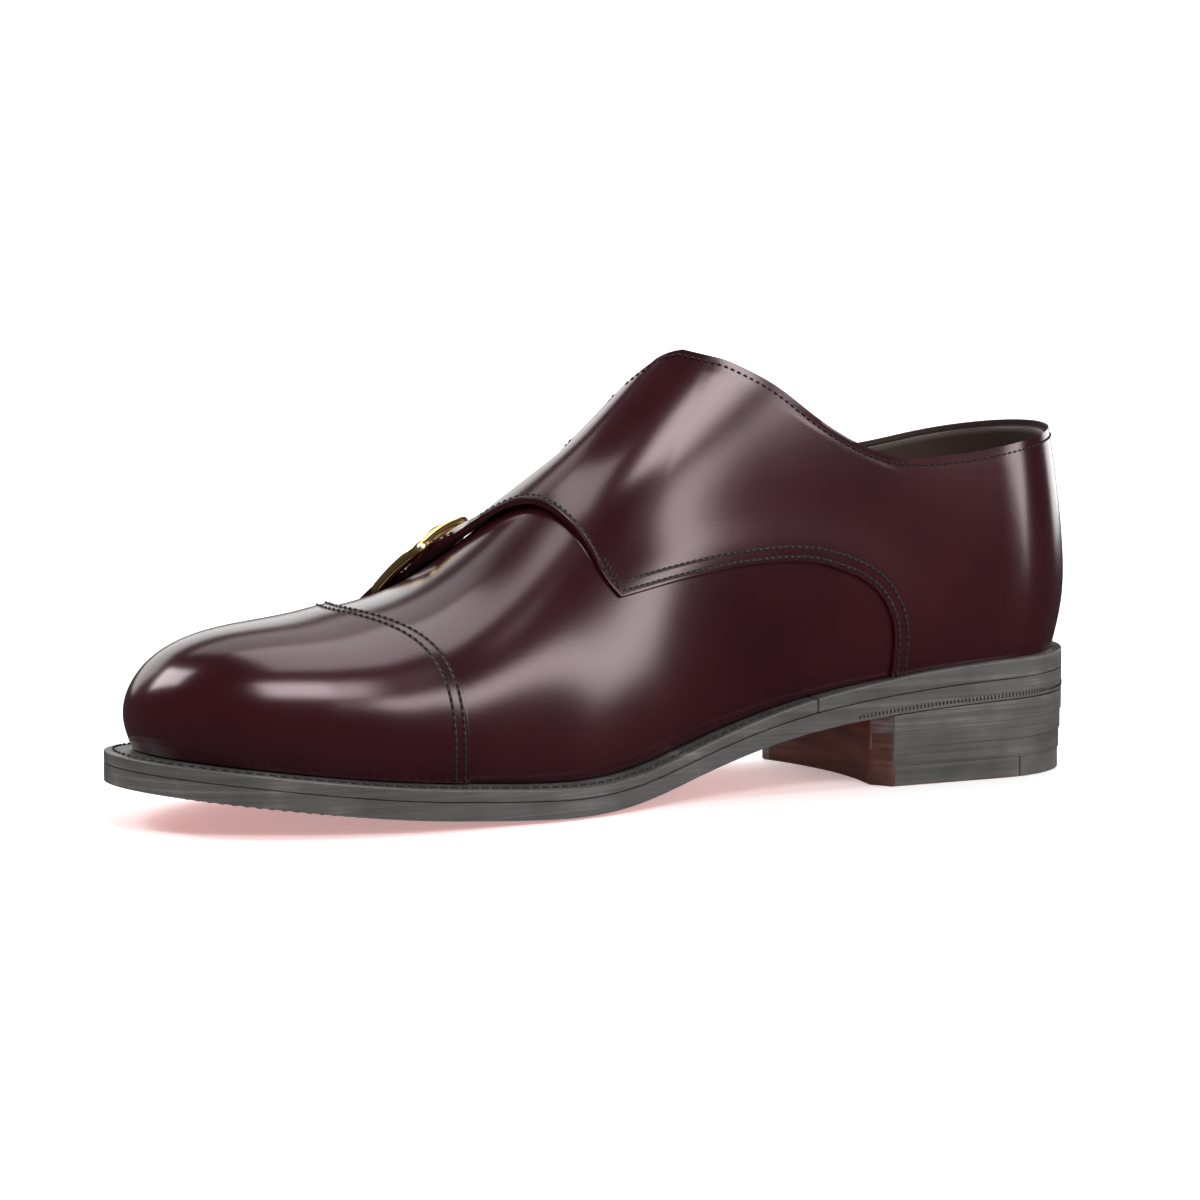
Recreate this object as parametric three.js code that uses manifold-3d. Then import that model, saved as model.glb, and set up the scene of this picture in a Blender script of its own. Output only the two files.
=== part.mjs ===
// A right-foot double monk strap shoe: welted leather sole, stacked heel, hollow upper, two brass buckles.
// Millimetres. While the shoe is made, x runs from the back of the heel to the toe, y to the inner (medial)
// side and z up from the ground. At the end the whole shoe is centred on its footprint.

import * as THREE from "three";
import { mergeVertices } from "three/addons/utils/BufferGeometryUtils.js";
import Module from "manifold-3d";

const wasm = await Module();
wasm.setup();

// ---------------------------------------------------------------- driving dimensions

const LENGTH = 300;
const GAP = 0.3;
const WALL = 2.2;
const HEEL_ROUND = 35;
const TOE_ROUND = 51;
const BREAST = 77;
const BREAST_HOLLOW = 5;
const CORNER_CUT = 6;
const WELT_JOINT = 96;
const RING_SHELF = 1.5;
const CROWN = 1.0;
const TOP_PIECE = 6;
const LIFTS = 3;
const HEEL_TAPER = 1.0;
const INSOLE_RISE = 1.2;
const THROAT = 148;
const CAP_LIFT = 0.5;
const CAP_LEATHER = 1.1;
const FLAP_LEATHER = 2.0;
const STRAP_WIDTH = 21.5;
const SPLIT = -0.08;
const TIP_ROUND = 7;
const TIP_REACH = 0.09;

// Half widths of the sole to its inner and outer edge.
const SOLE = [
  { x: 30, medial: 32.6, lateral: 33.4 },
  { x: 70, medial: 33.2, lateral: 35.0 },
  { x: 105, medial: 32.8, lateral: 36.5 },
  { x: 140, medial: 35.7, lateral: 40.5 },
  { x: 175, medial: 46.6, lateral: 49.5 },
  { x: 205, medial: 50.2, lateral: 52.0 },
  { x: 235, medial: 50.4, lateral: 48.4 },
  { x: 255, medial: 46.9, lateral: 42.4 },
  { x: 275, medial: 44.8, lateral: 39.2 },
  { x: 300, medial: 44.2, lateral: 38.2 },
];

// Height of the outsole's lower edge: heel seat, arch, tread and toe spring.
const UNDER = [
  { x: 0, z: 23.6 },
  { x: 78, z: 20.2 },
  { x: 100, z: 17.0 },
  { x: 125, z: 10.6 },
  { x: 150, z: 3.6 },
  { x: 166, z: 1.2 },
  { x: 180, z: 0.7 },
  { x: 195, z: 1.2 },
  { x: 212, z: 2.3 },
  { x: 235, z: 4.2 },
  { x: 270, z: 8.4 },
  { x: 300, z: 12.0 },
];

// Thickness of the outsole, and of outsole and welt (or rand) together.
const LAYERS = [
  { x: 0, sole: 6.0, edge: 11.8 },
  { x: 60, sole: 5.6, edge: 10.8 },
  { x: 100, sole: 5.0, edge: 9.0 },
  { x: 140, sole: 4.8, edge: 8.0 },
  { x: 200, sole: 5.0, edge: 8.5 },
  { x: 300, sole: 5.0, edge: 8.5 },
];

// Width of the welt outside the upper, and how far it rises towards the upper.
const WELT = [
  { x: 0, margin: 3.6, rise: 0 },
  { x: 70, margin: 4.2, rise: 0 },
  { x: 110, margin: 6.0, rise: 0.4 },
  { x: 150, margin: 7.0, rise: 0.8 },
  { x: 190, margin: 7.6, rise: 1.0 },
  { x: 300, margin: 7.6, rise: 1.0 },
];

// The ridge of the last: height and shift to the inner side. It runs on above the collar.
const RIDGE = [
  { x: 0, z: 188, y: 0 },
  { x: 60, z: 168, y: 0 },
  { x: 100, z: 146.6, y: 0 },
  { x: 135, z: 117.7, y: 1.4 },
  { x: 155, z: 99.3, y: 2.3 },
  { x: 180, z: 80.4, y: 3.3 },
  { x: 205, z: 64.3, y: 4.0 },
  { x: 230, z: 57.5, y: 3.6 },
  { x: 255, z: 55.6, y: 2.9 },
  { x: 285, z: 58.0, y: 2.2 },
];

// The cross-section's curve: steepness of the wall, fullness over the top, swell over the welt.
const RIB = [
  { x: 0, steep: 0.27, full: 0.89, swell: 3.0 },
  { x: 60, steep: 0.35, full: 0.8, swell: 5.0 },
  { x: 110, steep: 0.45, full: 0.7, swell: 6.0 },
  { x: 150, steep: 0.52, full: 0.57, swell: 5.0 },
  { x: 200, steep: 0.62, full: 0.6, swell: 4.0 },
  { x: 250, steep: 0.64, full: 0.65, swell: 4.0 },
  { x: 300, steep: 0.69, full: 0.75, swell: 4.0 },
];
const TOE_DROP = 61.4;
const TOE_DROP_POWER = 2.92;

// Back curve of the heel and swell of the toe, by the height above the welt.
const BACK_REACH = 80;
const BACK_CURVE = [
  { h: 0, dx: 0 },
  { h: 14, dx: -4.0 },
  { h: 30, dx: -4.2 },
  { h: 50, dx: -1.5 },
  { h: 75, dx: 3.5 },
  { h: 120, dx: 14 },
];
const TOE_REACH = 60;
const TOE_SWELL = [
  { h: 0, dx: -0.8 },
  { h: 8, dx: 2.1 },
  { h: 18, dx: 2.4 },
  { h: 35, dx: -0.3 },
  { h: 60, dx: 0 },
];

// The collar's height, from the back of the heel to the bottom of the throat.
const TOPLINE = [
  { x: 0, z: 101 },
  { x: 30, z: 96.5 },
  { x: 62, z: 94 },
  { x: 78, z: 97.5 },
  { x: 92, z: 104 },
  { x: 105, z: 109 },
  { x: 120, z: 110.5 },
  { x: 135, z: 108.5 },
  { x: 148, z: 104.6 },
];

// Edge of the toe cap: how far it sweeps back, by the way up the wall.
const CAP_SIDE = 212;
const CAP_SWEEP = 21;
const CAP_POWER = 1.8;

// The flap over the instep. way is +1 at the inner welt, 0 on the ridge and -1 at the outer welt.
const FLAP = [
  { way: 0.62, rear: 104, front: 158.5 },
  { way: 0.5, rear: 104, front: 163.5 },
  { way: 0.42, rear: 104.5, front: 165.5 },
  { way: 0.29, rear: 116, front: 170.5 },
  { way: 0.15, rear: 125, front: 175 },
  { way: 0.0, rear: 131, front: 181 },
  { way: -0.08, rear: 133.5, front: 187 },
];
const FRONT_STRAP = [
  { way: -0.08, front: 187 },
  { way: -0.16, front: 194.6 },
  { way: -0.24, front: 200.8 },
  { way: -0.33, front: 204.5 },
  { way: -0.42, front: 207.4 },
  { way: -0.54, front: 211.6 },
  { way: -0.62, front: 214.4 },
];
const REAR_STRAP = [
  { way: -0.08, front: 152.5 },
  { way: -0.2, front: 155.8 },
  { way: -0.32, front: 157.7 },
  { way: -0.44, front: 159.5 },
  { way: -0.56, front: 161.5 },
  { way: -0.74, front: 164.5 },
];

// A strap's height over the upper, measured down the side from its buckle's middle.
const STRAP_LIFT = [
  { down: -26, height: 0.3 },
  { down: -12, height: 0.35 },
  { down: -7, height: 0.5 },
  { down: 0, height: 2.2 },
  { down: 6, height: 3.3 },
  { down: 14, height: 3.3 },
  { down: 24, height: 3.8 },
  { down: 36, height: 5.6 },
];

// The frame's lower bar lies low, its upper bar is arched over the strap and higher towards the toe.
const BUCKLE = {
  wide: 29.5, long: 22, bar: 2.8, thick: 2.0, corner: 4, low: 0.4, high: 3.65, arch: 1.7, tilt: 0.9,
};
const PRONG = { wide: 2.4, thick: 1.5 };
const PRONG_HOLE = { wide: 3.4, long: 10, down: 2 };
const CHAPE = { wide: 17, long: 24, thick: 2.2 };
// turn: degrees by which a strap runs towards the toe on its way down.
const BUCKLES = {
  front: { way: -0.33, turn: 22, strap: FRONT_STRAP },
  rear: { way: -0.5, turn: 8, strap: REAR_STRAP },
};

// ---------------------------------------------------------------- small tools

// A smooth curve through a column of a table: a natural cubic spline.
function curve(rows, from, to) {
  const xs = rows.map((row) => row[from]);
  const ys = rows.map((row) => row[to]);
  const last = xs.length - 1;
  const bend = new Array(last + 1).fill(0);
  const carry = new Array(last + 1).fill(0);
  for (let i = 1; i < last; i++) {
    const before = xs[i] - xs[i - 1];
    const after = xs[i + 1] - xs[i];
    const turn = (ys[i + 1] - ys[i]) / after - (ys[i] - ys[i - 1]) / before;
    const pivot = 2 * (before + after) - before * carry[i - 1];
    carry[i] = after / pivot;
    bend[i] = (6 * turn - before * bend[i - 1]) / pivot;
  }
  for (let i = last - 1; i > 0; i--) bend[i] -= carry[i] * bend[i + 1];
  return (value) => {
    const at = THREE.MathUtils.clamp(value, xs[0], xs[last]);
    let i = 0;
    while (i < last - 1 && at > xs[i + 1]) i++;
    const step = xs[i + 1] - xs[i];
    const a = (xs[i + 1] - at) / step;
    const b = 1 - a;
    const cubic = (a ** 3 - a) * bend[i] + (b ** 3 - b) * bend[i + 1];
    return a * ys[i] + b * ys[i + 1] + (cubic * step * step) / 6;
  };
}

// The same for tables that run downwards in their first column.
function curveDown(rows, from, to) {
  return curve([...rows].reverse(), from, to);
}

// 0 at the very end of a form, 1 where it is `reach` away from the end: a quarter of a rounded outline.
function roundEnd(distance, reach, power) {
  const left = 1 - THREE.MathUtils.clamp(distance / reach, 0, 1);
  return Math.max(1 - left ** power, 0) ** (1 / power);
}

function range(count, make) {
  return Array.from({ length: count + 1 }, (_, i) => make(i / count, i));
}

// Triangles of a solid lofted through closed loops of equal length. Its two ends are closed by joining the
// first half of the loop to the second half.
function loftTriangles(loops) {
  const size = loops[0].length;
  const triangles = [];
  const quad = (a, b, c, d) => triangles.push([a, b, c], [a, c, d]);
  for (let i = 0; i + 1 < loops.length; i++) {
    for (let j = 0; j < size; j++) {
      const next = (j + 1) % size;
      quad(loops[i][j], loops[i][next], loops[i + 1][next], loops[i + 1][j]);
    }
  }
  const first = loops[0];
  const last = loops[loops.length - 1];
  for (let j = 0; j + 1 < size / 2; j++) {
    const back = size - 1 - j;
    quad(first[j], first[back], first[back - 1], first[j + 1]);
    quad(last[j], last[j + 1], last[back - 1], last[back]);
  }
  return facingOut(triangles);
}

function facingOut(triangles) {
  let volume = 0;
  for (const [a, b, c] of triangles) volume += a.dot(b.clone().cross(c));
  return volume < 0 ? triangles.map(([a, b, c]) => [a, c, b]) : triangles;
}

// One closed geometry from triangles: shared corners are merged, flat triangles are left out, and two faces
// that lie back to back cancel, so that two forms that share a face become one.
function closedGeometry(triangles) {
  const corners = new Float32Array(triangles.flat().flatMap((p) => [p.x, p.y, p.z]));
  const loose = new THREE.BufferGeometry();
  loose.setAttribute("position", new THREE.BufferAttribute(corners, 3));
  const merged = mergeVertices(loose, 1e-3);
  const index = merged.index.array;
  const faces = new Map();
  for (let i = 0; i < index.length; i += 3) {
    const face = [index[i], index[i + 1], index[i + 2]];
    if (new Set(face).size < 3) continue;
    const key = [...face].sort((a, b) => a - b).join();
    if (faces.has(key)) faces.delete(key);
    else faces.set(key, face);
  }
  merged.setIndex([...faces.values()].flat());
  return merged;
}

function loft(loops) {
  return closedGeometry(loftTriangles(loops));
}

function toManifold(geometry) {
  const bare = mergeVertices(new THREE.BufferGeometry()
    .setAttribute("position", geometry.getAttribute("position"))
    .setIndex(geometry.index), 1e-3);
  return new wasm.Manifold(new wasm.Mesh({
    numProp: 3,
    vertProperties: new Float32Array(bare.attributes.position.array),
    triVerts: new Uint32Array(bare.index.array),
  }));
}

function fromManifold(solid) {
  const mesh = solid.getMesh();
  const positions = new THREE.BufferAttribute(new Float32Array(mesh.vertProperties), 3);
  return new THREE.BufferGeometry()
    .setAttribute("position", positions)
    .setIndex(new THREE.BufferAttribute(mesh.triVerts, 1));
}

// ---------------------------------------------------------------- the forms of the last

const soleMedial = curve(SOLE, "x", "medial");
const soleLateral = curve(SOLE, "x", "lateral");
const underEdge = curve(UNDER, "x", "z");
const soleThick = curve(LAYERS, "x", "sole");
const edgeThick = curve(LAYERS, "x", "edge");
const margin = curve(WELT, "x", "margin");
const weltRise = curve(WELT, "x", "rise");
const ridgeHeight = curve(RIDGE, "x", "z");
const ridgeShift = curve(RIDGE, "x", "y");
const ribSteep = curve(RIB, "x", "steep");
const ribFull = curve(RIB, "x", "full");
const ribSwell = curve(RIB, "x", "swell");
const backCurve = curve(BACK_CURVE, "h", "dx");
const toeSwell = curve(TOE_SWELL, "h", "dx");
const topline = curve(TOPLINE, "x", "z");

const soleTop = (x) => underEdge(x) + soleThick(x);
const weltTop = (x) => underEdge(x) + edgeThick(x);
const featherHeight = (x) => weltTop(x) + weltRise(x);

// How far a form stands in from the sole's outline: along the sides, at the heel and at the toe.
const even = (inset) => ({ side: () => inset, back: inset, front: inset });
const insideWelt = (inset) => ({
  side: (x) => margin(x) + inset,
  back: margin(0) + inset,
  front: margin(LENGTH) + inset,
});

// Middle and half width of the outline at x.
function outline(x, offset) {
  const medial = soleMedial(x) - offset.side(x);
  const lateral = soleLateral(x) - offset.side(x);
  const heel = roundEnd(x - offset.back, HEEL_ROUND - offset.back, 2);
  const toe = roundEnd(LENGTH - offset.front - x, TOE_ROUND - offset.front, 2);
  return { middle: (medial - lateral) / 2, half: ((medial + lateral) / 2) * heel * toe, cap: heel * toe };
}

// A point on the upper's surface, `inset` under its outside: x along the last, side +1 medial or -1 lateral,
// t from the welt (0) to the ridge (1). Each cross-section is one cubic curve.
function ribPoint(x, side, t, inset) {
  const { middle, half, cap } = outline(x, insideWelt(inset));
  const toeEnd = LENGTH - margin(LENGTH) - inset;
  const foot = featherHeight(x);
  const drop = roundEnd(toeEnd - x, TOE_DROP - inset, TOE_DROP_POWER);
  const rise = (ridgeHeight(x) - inset - foot) * drop;
  const ridge = middle + ridgeShift(x) * cap;
  const weights = [(1 - t) ** 3, 3 * (1 - t) ** 2 * t, 3 * (1 - t) * t * t, t ** 3];
  const across = [
    middle + side * half,
    middle + side * (half + ribSwell(x) * cap),
    ridge + side * ribFull(x) * half,
    ridge,
  ];
  const up = [0, ribSteep(x) * rise, rise, rise];
  const y = weights.reduce((sum, weight, i) => sum + weight * across[i], 0);
  const height = weights.reduce((sum, weight, i) => sum + weight * up[i], 0);
  const nearBack = Math.max(1 - x / BACK_REACH, 0) ** 2;
  const nearToe = Math.max(1 - (toeEnd - x) / TOE_REACH, 0) ** 2;
  const shift = backCurve(height) * nearBack + toeSwell(height) * nearToe;
  return new THREE.Vector3(x + shift, y, foot + height);
}

// The same point by its way round the cross-section: +1 inner welt, 0 ridge, -1 outer welt. `proud` is the
// height over the outside.
function onUpper(x, way, proud) {
  return ribPoint(x, way < 0 ? -1 : 1, 1 - Math.abs(way), -proud);
}

// ---------------------------------------------------------------- sole and heel

// A plate over the sole's outline. xAt gives x by station (0 to 1) and by place across (-1 to 1).
function plate({ stations, across, offset, xAt, bottom, top }) {
  return loft(range(stations, (u) => {
    const row = (height) => range(across, (w) => {
      const v = 2 * w - 1;
      const x = xAt(u, v);
      const { middle, half, cap } = outline(x, offset);
      return new THREE.Vector3(x, middle + v * half, height(x, v, cap));
    });
    return [...row(bottom), ...row(top).reverse()];
  }));
}

const alongWhole = (offset) => (u) =>
  offset.back + ((LENGTH - offset.front - offset.back) * (1 - Math.cos(Math.PI * u))) / 2;

// Height of the outsole's underside: a little lower in the middle than at its edge.
const domed = (x, v, cap) => Math.max(underEdge(x) - CROWN * (1 - v ** 4) * cap, 0);

function outsole() {
  const offset = even(0);
  return plate({
    stations: 38,
    across: 8,
    offset,
    xAt: alongWhole(offset),
    bottom: domed,
    top: (x) => soleTop(x),
  });
}

function insole() {
  const offset = insideWelt(WALL + RING_SHELF + 3 * GAP);
  return plate({
    stations: 26,
    across: 4,
    offset,
    xAt: alongWhole(offset),
    bottom: (x) => soleTop(x) + GAP,
    top: (x) => featherHeight(x) + INSOLE_RISE,
  });
}

// The front of the heel is hollow, and its inner corner is cut off.
function breastLine(v) {
  const cut = Math.max((v - 0.8) / 0.2, 0) * CORNER_CUT;
  return BREAST - BREAST_HOLLOW * (1 - v * v) - cut;
}

function heelPlate(low, high, inset) {
  return plate({
    stations: 9,
    across: 10,
    offset: even(inset),
    xAt: (u, v) => inset + (breastLine(v) - inset) * (1 - Math.cos((Math.PI * u) / 2)),
    bottom: low,
    top: high,
  });
}

// The lifts share the room between the top piece and the sole's underside.
function heelLift(number) {
  const level = (share) => (...at) => TOP_PIECE + share * (domed(...at) - GAP - TOP_PIECE);
  const inset = HEEL_TAPER * (1 - number / LIFTS);
  const low = level((number - 1) / LIFTS);
  return heelPlate((...at) => low(...at) + GAP, level(number / LIFTS), inset);
}

// The top piece is leather in front and rubber behind, parted by a straight slanting cut.
const RUBBER_MEDIAL = 27;
const RUBBER_LATERAL = 48;
function topPiece(rubber) {
  const whole = toManifold(heelPlate(() => 0, () => TOP_PIECE, HEEL_TAPER));
  const far = 60;
  const slope = (RUBBER_MEDIAL - RUBBER_LATERAL) / (soleMedial(30) + soleLateral(50));
  const cut = (y) => RUBBER_LATERAL + slope * (y + soleLateral(50)) + (rubber ? -GAP / 2 : GAP / 2);
  const end = rubber ? -far : LENGTH;
  const shape = new THREE.Shape([
    new THREE.Vector2(cut(-far), -far),
    new THREE.Vector2(end, -far),
    new THREE.Vector2(end, far),
    new THREE.Vector2(cut(far), far),
  ]);
  const block = new THREE.ExtrudeGeometry(shape, { depth: 2 * TOP_PIECE, bevelEnabled: false });
  block.translate(0, 0, -TOP_PIECE / 2);
  block.deleteAttribute("normal");
  block.deleteAttribute("uv");
  return fromManifold(whole.intersect(toManifold(mergeVertices(block))));
}

// A ring that follows the sole's edge: the welt round the forepart, or the rand round the heel.
function ring(xAt, inner) {
  const section = (u, side) => {
    const corner = (offset, height) => {
      const x = xAt(u, offset);
      const { middle, half } = outline(x, offset);
      return new THREE.Vector3(x, middle + side * half, height(x));
    };
    const low = (x) => soleTop(x) + GAP;
    const high = (x) => featherHeight(x) - GAP;
    const outer = even(0);
    return [corner(outer, low), corner(outer, weltTop), corner(inner, high), corner(inner, low)];
  };
  const steps = 22;
  const medial = range(steps, (u) => section(u, 1));
  const lateral = range(steps, (u) => section(1 - u, -1)).slice(1);
  return loft([...medial, ...lateral]);
}

const ringInner = insideWelt(WALL + RING_SHELF);

function welt() {
  const reach = (offset) => LENGTH - offset.front - WELT_JOINT;
  return ring((u, offset) => WELT_JOINT + GAP / 2 + (reach(offset) - GAP / 2) * Math.sin((Math.PI * u) / 2), ringInner);
}

function heelRand() {
  const reach = (offset) => WELT_JOINT - GAP / 2 - offset.back;
  return ring((u, offset) => offset.back + reach(offset) * (1 - Math.sin((Math.PI * u) / 2)), ringInner);
}

// ---------------------------------------------------------------- upper

// How far up the cross-section the collar cuts it: 1 in front of the throat.
function collarCut(x, side) {
  if (x >= THROAT) return 1;
  let low = 0;
  let high = 1;
  for (let i = 0; i < 40; i++) {
    const middle = (low + high) / 2;
    if (ribPoint(x, side, middle, 0).z < topline(x)) low = middle;
    else high = middle;
  }
  return low;
}

// One side of the hollow upper, from the heel to the toe.
function upperSide(side) {
  const rows = 11;
  const behind = 22;
  const ahead = 20;
  const half = Math.PI / 2;
  const fromBack = (u, back, throat) => back + (throat - back) * (1 - Math.cos(u * half));
  const toToe = (u, front, throat) => throat + (front - throat) * Math.sin(u * half);
  const loop = (xOut, xIn) => {
    const cut = collarCut(xOut, side);
    const wall = (x, inset) => range(rows, (k) => ribPoint(x, side, cut * k, inset));
    return [...wall(xOut, 0), ...wall(xIn, WALL).reverse()];
  };
  const back = margin(0);
  const front = LENGTH - margin(LENGTH);
  const rear = range(behind, (u) =>
    loop(fromBack(u, back, THROAT), fromBack(u, back + WALL, THROAT)));
  const fore = range(ahead, (u) =>
    loop(toToe(u, front, THROAT), toToe(u, front - WALL, THROAT))).slice(1);
  return loftTriangles([...rear, ...fore]);
}

function upper() {
  return closedGeometry([...upperSide(1), ...upperSide(-1)]);
}

// A leather patch on the upper between two heights. edges gives its rear and front x by the way round.
function patch({ ways, steps, edges, low, high }) {
  return loft(ways.map((way) => {
    const { rear, front } = edges(way);
    const row = (height) => range(steps, (s) => {
      const x = rear + (front - rear) * s;
      return onUpper(x, way, height(x, way));
    });
    return [...row(low), ...row(high).reverse()];
  }));
}

function toeCap() {
  const stations = 13;
  const halfRows = 9;
  const edge = (t) => CAP_SIDE + CAP_SWEEP * Math.sin((Math.PI / 2) * t ** CAP_POWER) ** 2;
  const arch = (u, proud) => range(2 * halfRows, (k) => {
    const way = 1 - 2 * k;
    const start = edge(1 - Math.abs(way));
    const end = LENGTH - margin(LENGTH) + proud;
    return onUpper(start + (end - start) * Math.sin((Math.PI * u) / 2), way, proud);
  });
  return loft(range(stations, (u) => [
    ...arch(u, CAP_LIFT),
    ...arch(u, CAP_LIFT + CAP_LEATHER).reverse(),
  ]));
}

// The tongue lies inside the throat, under the straps.
function tongue() {
  const far = 0.46;
  return patch({
    ways: range(14, (s) => far - 2 * far * s),
    steps: 8,
    edges: (way) => ({ rear: 128 + 5 * (way / far) ** 4, front: 162 }),
    low: () => -WALL - 3 * GAP - 1.8,
    high: () => -WALL - 3 * GAP,
  });
}

// ---------------------------------------------------------------- straps, chapes and buckles

// How many millimetres of leather one millimetre of x covers.
function stretch(x, way) {
  return onUpper(x + 0.5, way, 0).distanceTo(onUpper(x - 0.5, way, 0));
}

// A strap's edges by the way round: the front edge from its table, the rear one strap's width behind it.
function strapEdges({ strap, turn }) {
  const line = curveDown(strap, "way", "front");
  const slanted = STRAP_WIDTH / Math.cos(THREE.MathUtils.degToRad(turn));
  return (way) => {
    const front = line(way);
    const width = slanted / stretch(front - slanted / 2, way);
    return { rear: front - width, front, middle: front - width / 2 };
  };
}

// Local measure at a buckle: millimetres across and along its strap, laid on the upper.
function wrapAt(buckle) {
  const small = 0.01;
  const { way, turn } = buckle;
  const x = strapEdges(buckle)(way).middle;
  const perWay = onUpper(x, way - small, 0).distanceTo(onUpper(x, way, 0)) / small;
  const angle = THREE.MathUtils.degToRad(turn);
  const cos = Math.cos(angle);
  const sin = Math.sin(angle);
  const place = (over, down, height) => {
    const at = way - (down * cos - over * sin) / perWay;
    return onUpper(x + (over * cos + down * sin) / stretch(x, at), at, height);
  };
  return { place, downAt: (at) => ((way - at) * perWay) / cos };
}

const strapHeight = curve(STRAP_LIFT, "down", "height");

function strapPatch(name) {
  const { strap } = BUCKLES[name];
  const { downAt } = wrapAt(BUCKLES[name]);
  const edges = strapEdges(BUCKLES[name]);
  const tip = strap[strap.length - 1].way;
  const start = SPLIT + 0.01;
  const base = (way) => (way >= SPLIT ? GAP : strapHeight(downAt(way)));
  const narrow = (way) => TIP_ROUND * (1 - roundEnd(way - tip, TIP_REACH, 2));
  return patch({
    ways: range(16, (s) => start + (tip - start) * Math.sin((Math.PI * s) / 2)),
    steps: 6,
    edges: (way) => {
      const { rear, front } = edges(Math.min(way, SPLIT));
      return { rear: rear + narrow(way), front: front - narrow(way) };
    },
    low: (x, way) => base(way),
    high: (x, way) => base(way) + FLAP_LEATHER,
  });
}

// The slot that the prong passes through, cut square to the upper.
function prongSlot(name) {
  const { place } = wrapAt(BUCKLES[name]);
  const half = PRONG_HOLE.wide / 2;
  const corners = [[-half, 0], [half, 0], [half, 12], [-half, 12]];
  const loop = (down) => corners.map(([over, height]) => place(over, down, height));
  return loft([-0.5, 0.5].map((end) => loop(PRONG_HOLE.down + end * PRONG_HOLE.long)));
}

function monkFlap() {
  const rear = curveDown(FLAP, "way", "rear");
  const front = curveDown(FLAP, "way", "front");
  const top = FLAP[0].way;
  const body = patch({
    ways: range(16, (s) => top + (SPLIT - top) * s),
    steps: 12,
    edges: (way) => ({ rear: rear(way), front: front(way) }),
    low: () => GAP,
    high: () => GAP + FLAP_LEATHER,
  });
  const straps = ["front", "rear"].map((name) =>
    toManifold(strapPatch(name)).subtract(toManifold(prongSlot(name))));
  return fromManifold(straps.reduce((sum, strap) => sum.add(strap), toManifold(body)));
}

// A chape is the folded strip that holds the buckle's lower bar.
function chape(name) {
  const { place } = wrapAt(BUCKLES[name]);
  const start = BUCKLE.long / 2 + GAP;
  return loft(range(7, (u) => {
    const down = start + (CHAPE.long - start) * u;
    const row = (height) => range(4, (s) => place(CHAPE.wide * (s - 0.5), down, height));
    return [...row(GAP), ...row(GAP + CHAPE.thick).reverse()];
  }));
}

// The frame is a rounded rectangle of flat bar, low at the chape and arched where it crosses the strap.
function buckleFrame(name) {
  const { place } = wrapAt(BUCKLES[name]);
  const wide = (BUCKLE.wide - BUCKLE.bar) / 2;
  const long = (BUCKLE.long - BUCKLE.bar) / 2;
  const steps = 4;
  const corners = [[1, 1], [-1, 1], [-1, -1], [1, -1]];
  const path = corners.flatMap(([sx, sy], i) => range(steps, (s) => {
    const turn = (Math.PI / 2) * (i + s);
    const ax = sx * (wide - BUCKLE.corner) + BUCKLE.corner * Math.cos(turn);
    const ay = sy * (long - BUCKLE.corner) + BUCKLE.corner * Math.sin(turn);
    return { over: ax, down: ay, nx: Math.cos(turn), ny: Math.sin(turn) };
  }));
  const height = (over, down) => {
    const share = (long - down) / (2 * long);
    const arch = BUCKLE.arch * (1 - (over / wide) ** 2) + (BUCKLE.tilt * over) / wide;
    return BUCKLE.low + (BUCKLE.high - BUCKLE.low + arch) * share;
  };
  const section = [[-1, 0], [1, 0], [1, 0.6], [0.5, 1], [-0.5, 1], [-1, 0.6]];
  const rows = path.map(({ over, down, nx, ny }) => section.map(([side, up]) => {
    const reach = (side * BUCKLE.bar) / 2;
    return place(over + nx * reach, down + ny * reach, height(over, down) + up * BUCKLE.thick);
  }));
  const triangles = [];
  rows.forEach((row, i) => row.forEach((point, j) => {
    const nextRow = rows[(i + 1) % rows.length];
    const k = (j + 1) % row.length;
    triangles.push([point, row[k], nextRow[k]], [point, nextRow[k], nextRow[j]]);
  }));
  return closedGeometry(facingOut(triangles));
}

// The prong rises from beside the lower bar, through the strap, and lies on the upper bar.
function prong(name) {
  const { place } = wrapAt(BUCKLES[name]);
  const far = BUCKLE.long / 2;
  const overBar = BUCKLE.high + BUCKLE.arch + BUCKLE.thick;
  const path = [
    { down: far - BUCKLE.bar - 0.4, height: 0.8 },
    { down: 5.5, height: 1.6 },
    { down: 2, height: 4.4 },
    { down: -2, height: 6.6 },
    { down: -far + 2.4, height: overBar + 2 * GAP },
    { down: -far + 0.4, height: overBar + GAP },
  ];
  const lie = curveDown(path, "down", "height");
  const first = path[0].down;
  const last = path[path.length - 1].down;
  return loft(range(10, (u) => {
    const down = first + (last - first) * u;
    const half = PRONG.wide / 2;
    return [[-half, 0], [half, 0], [half * 0.7, 1], [-half * 0.7, 1]].map(([over, up]) =>
      place(over, down, lie(down) + up * PRONG.thick));
  }));
}

// ---------------------------------------------------------------- assembly

const material = (color, roughness, metalness = 0) =>
  new THREE.MeshStandardMaterial({ color, roughness, metalness });
const burgundy = material(0x3a161c, 0.35);
const lining = material(0x2a1d18, 0.7);
const edgeDressing = material(0x3a3838, 0.5);
const redLeather = material(0xc8402c, 0.5);
const rubberDark = material(0x4c4a49, 0.8);
const brass = material(0xc9a24a, 0.25, 1);

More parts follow.
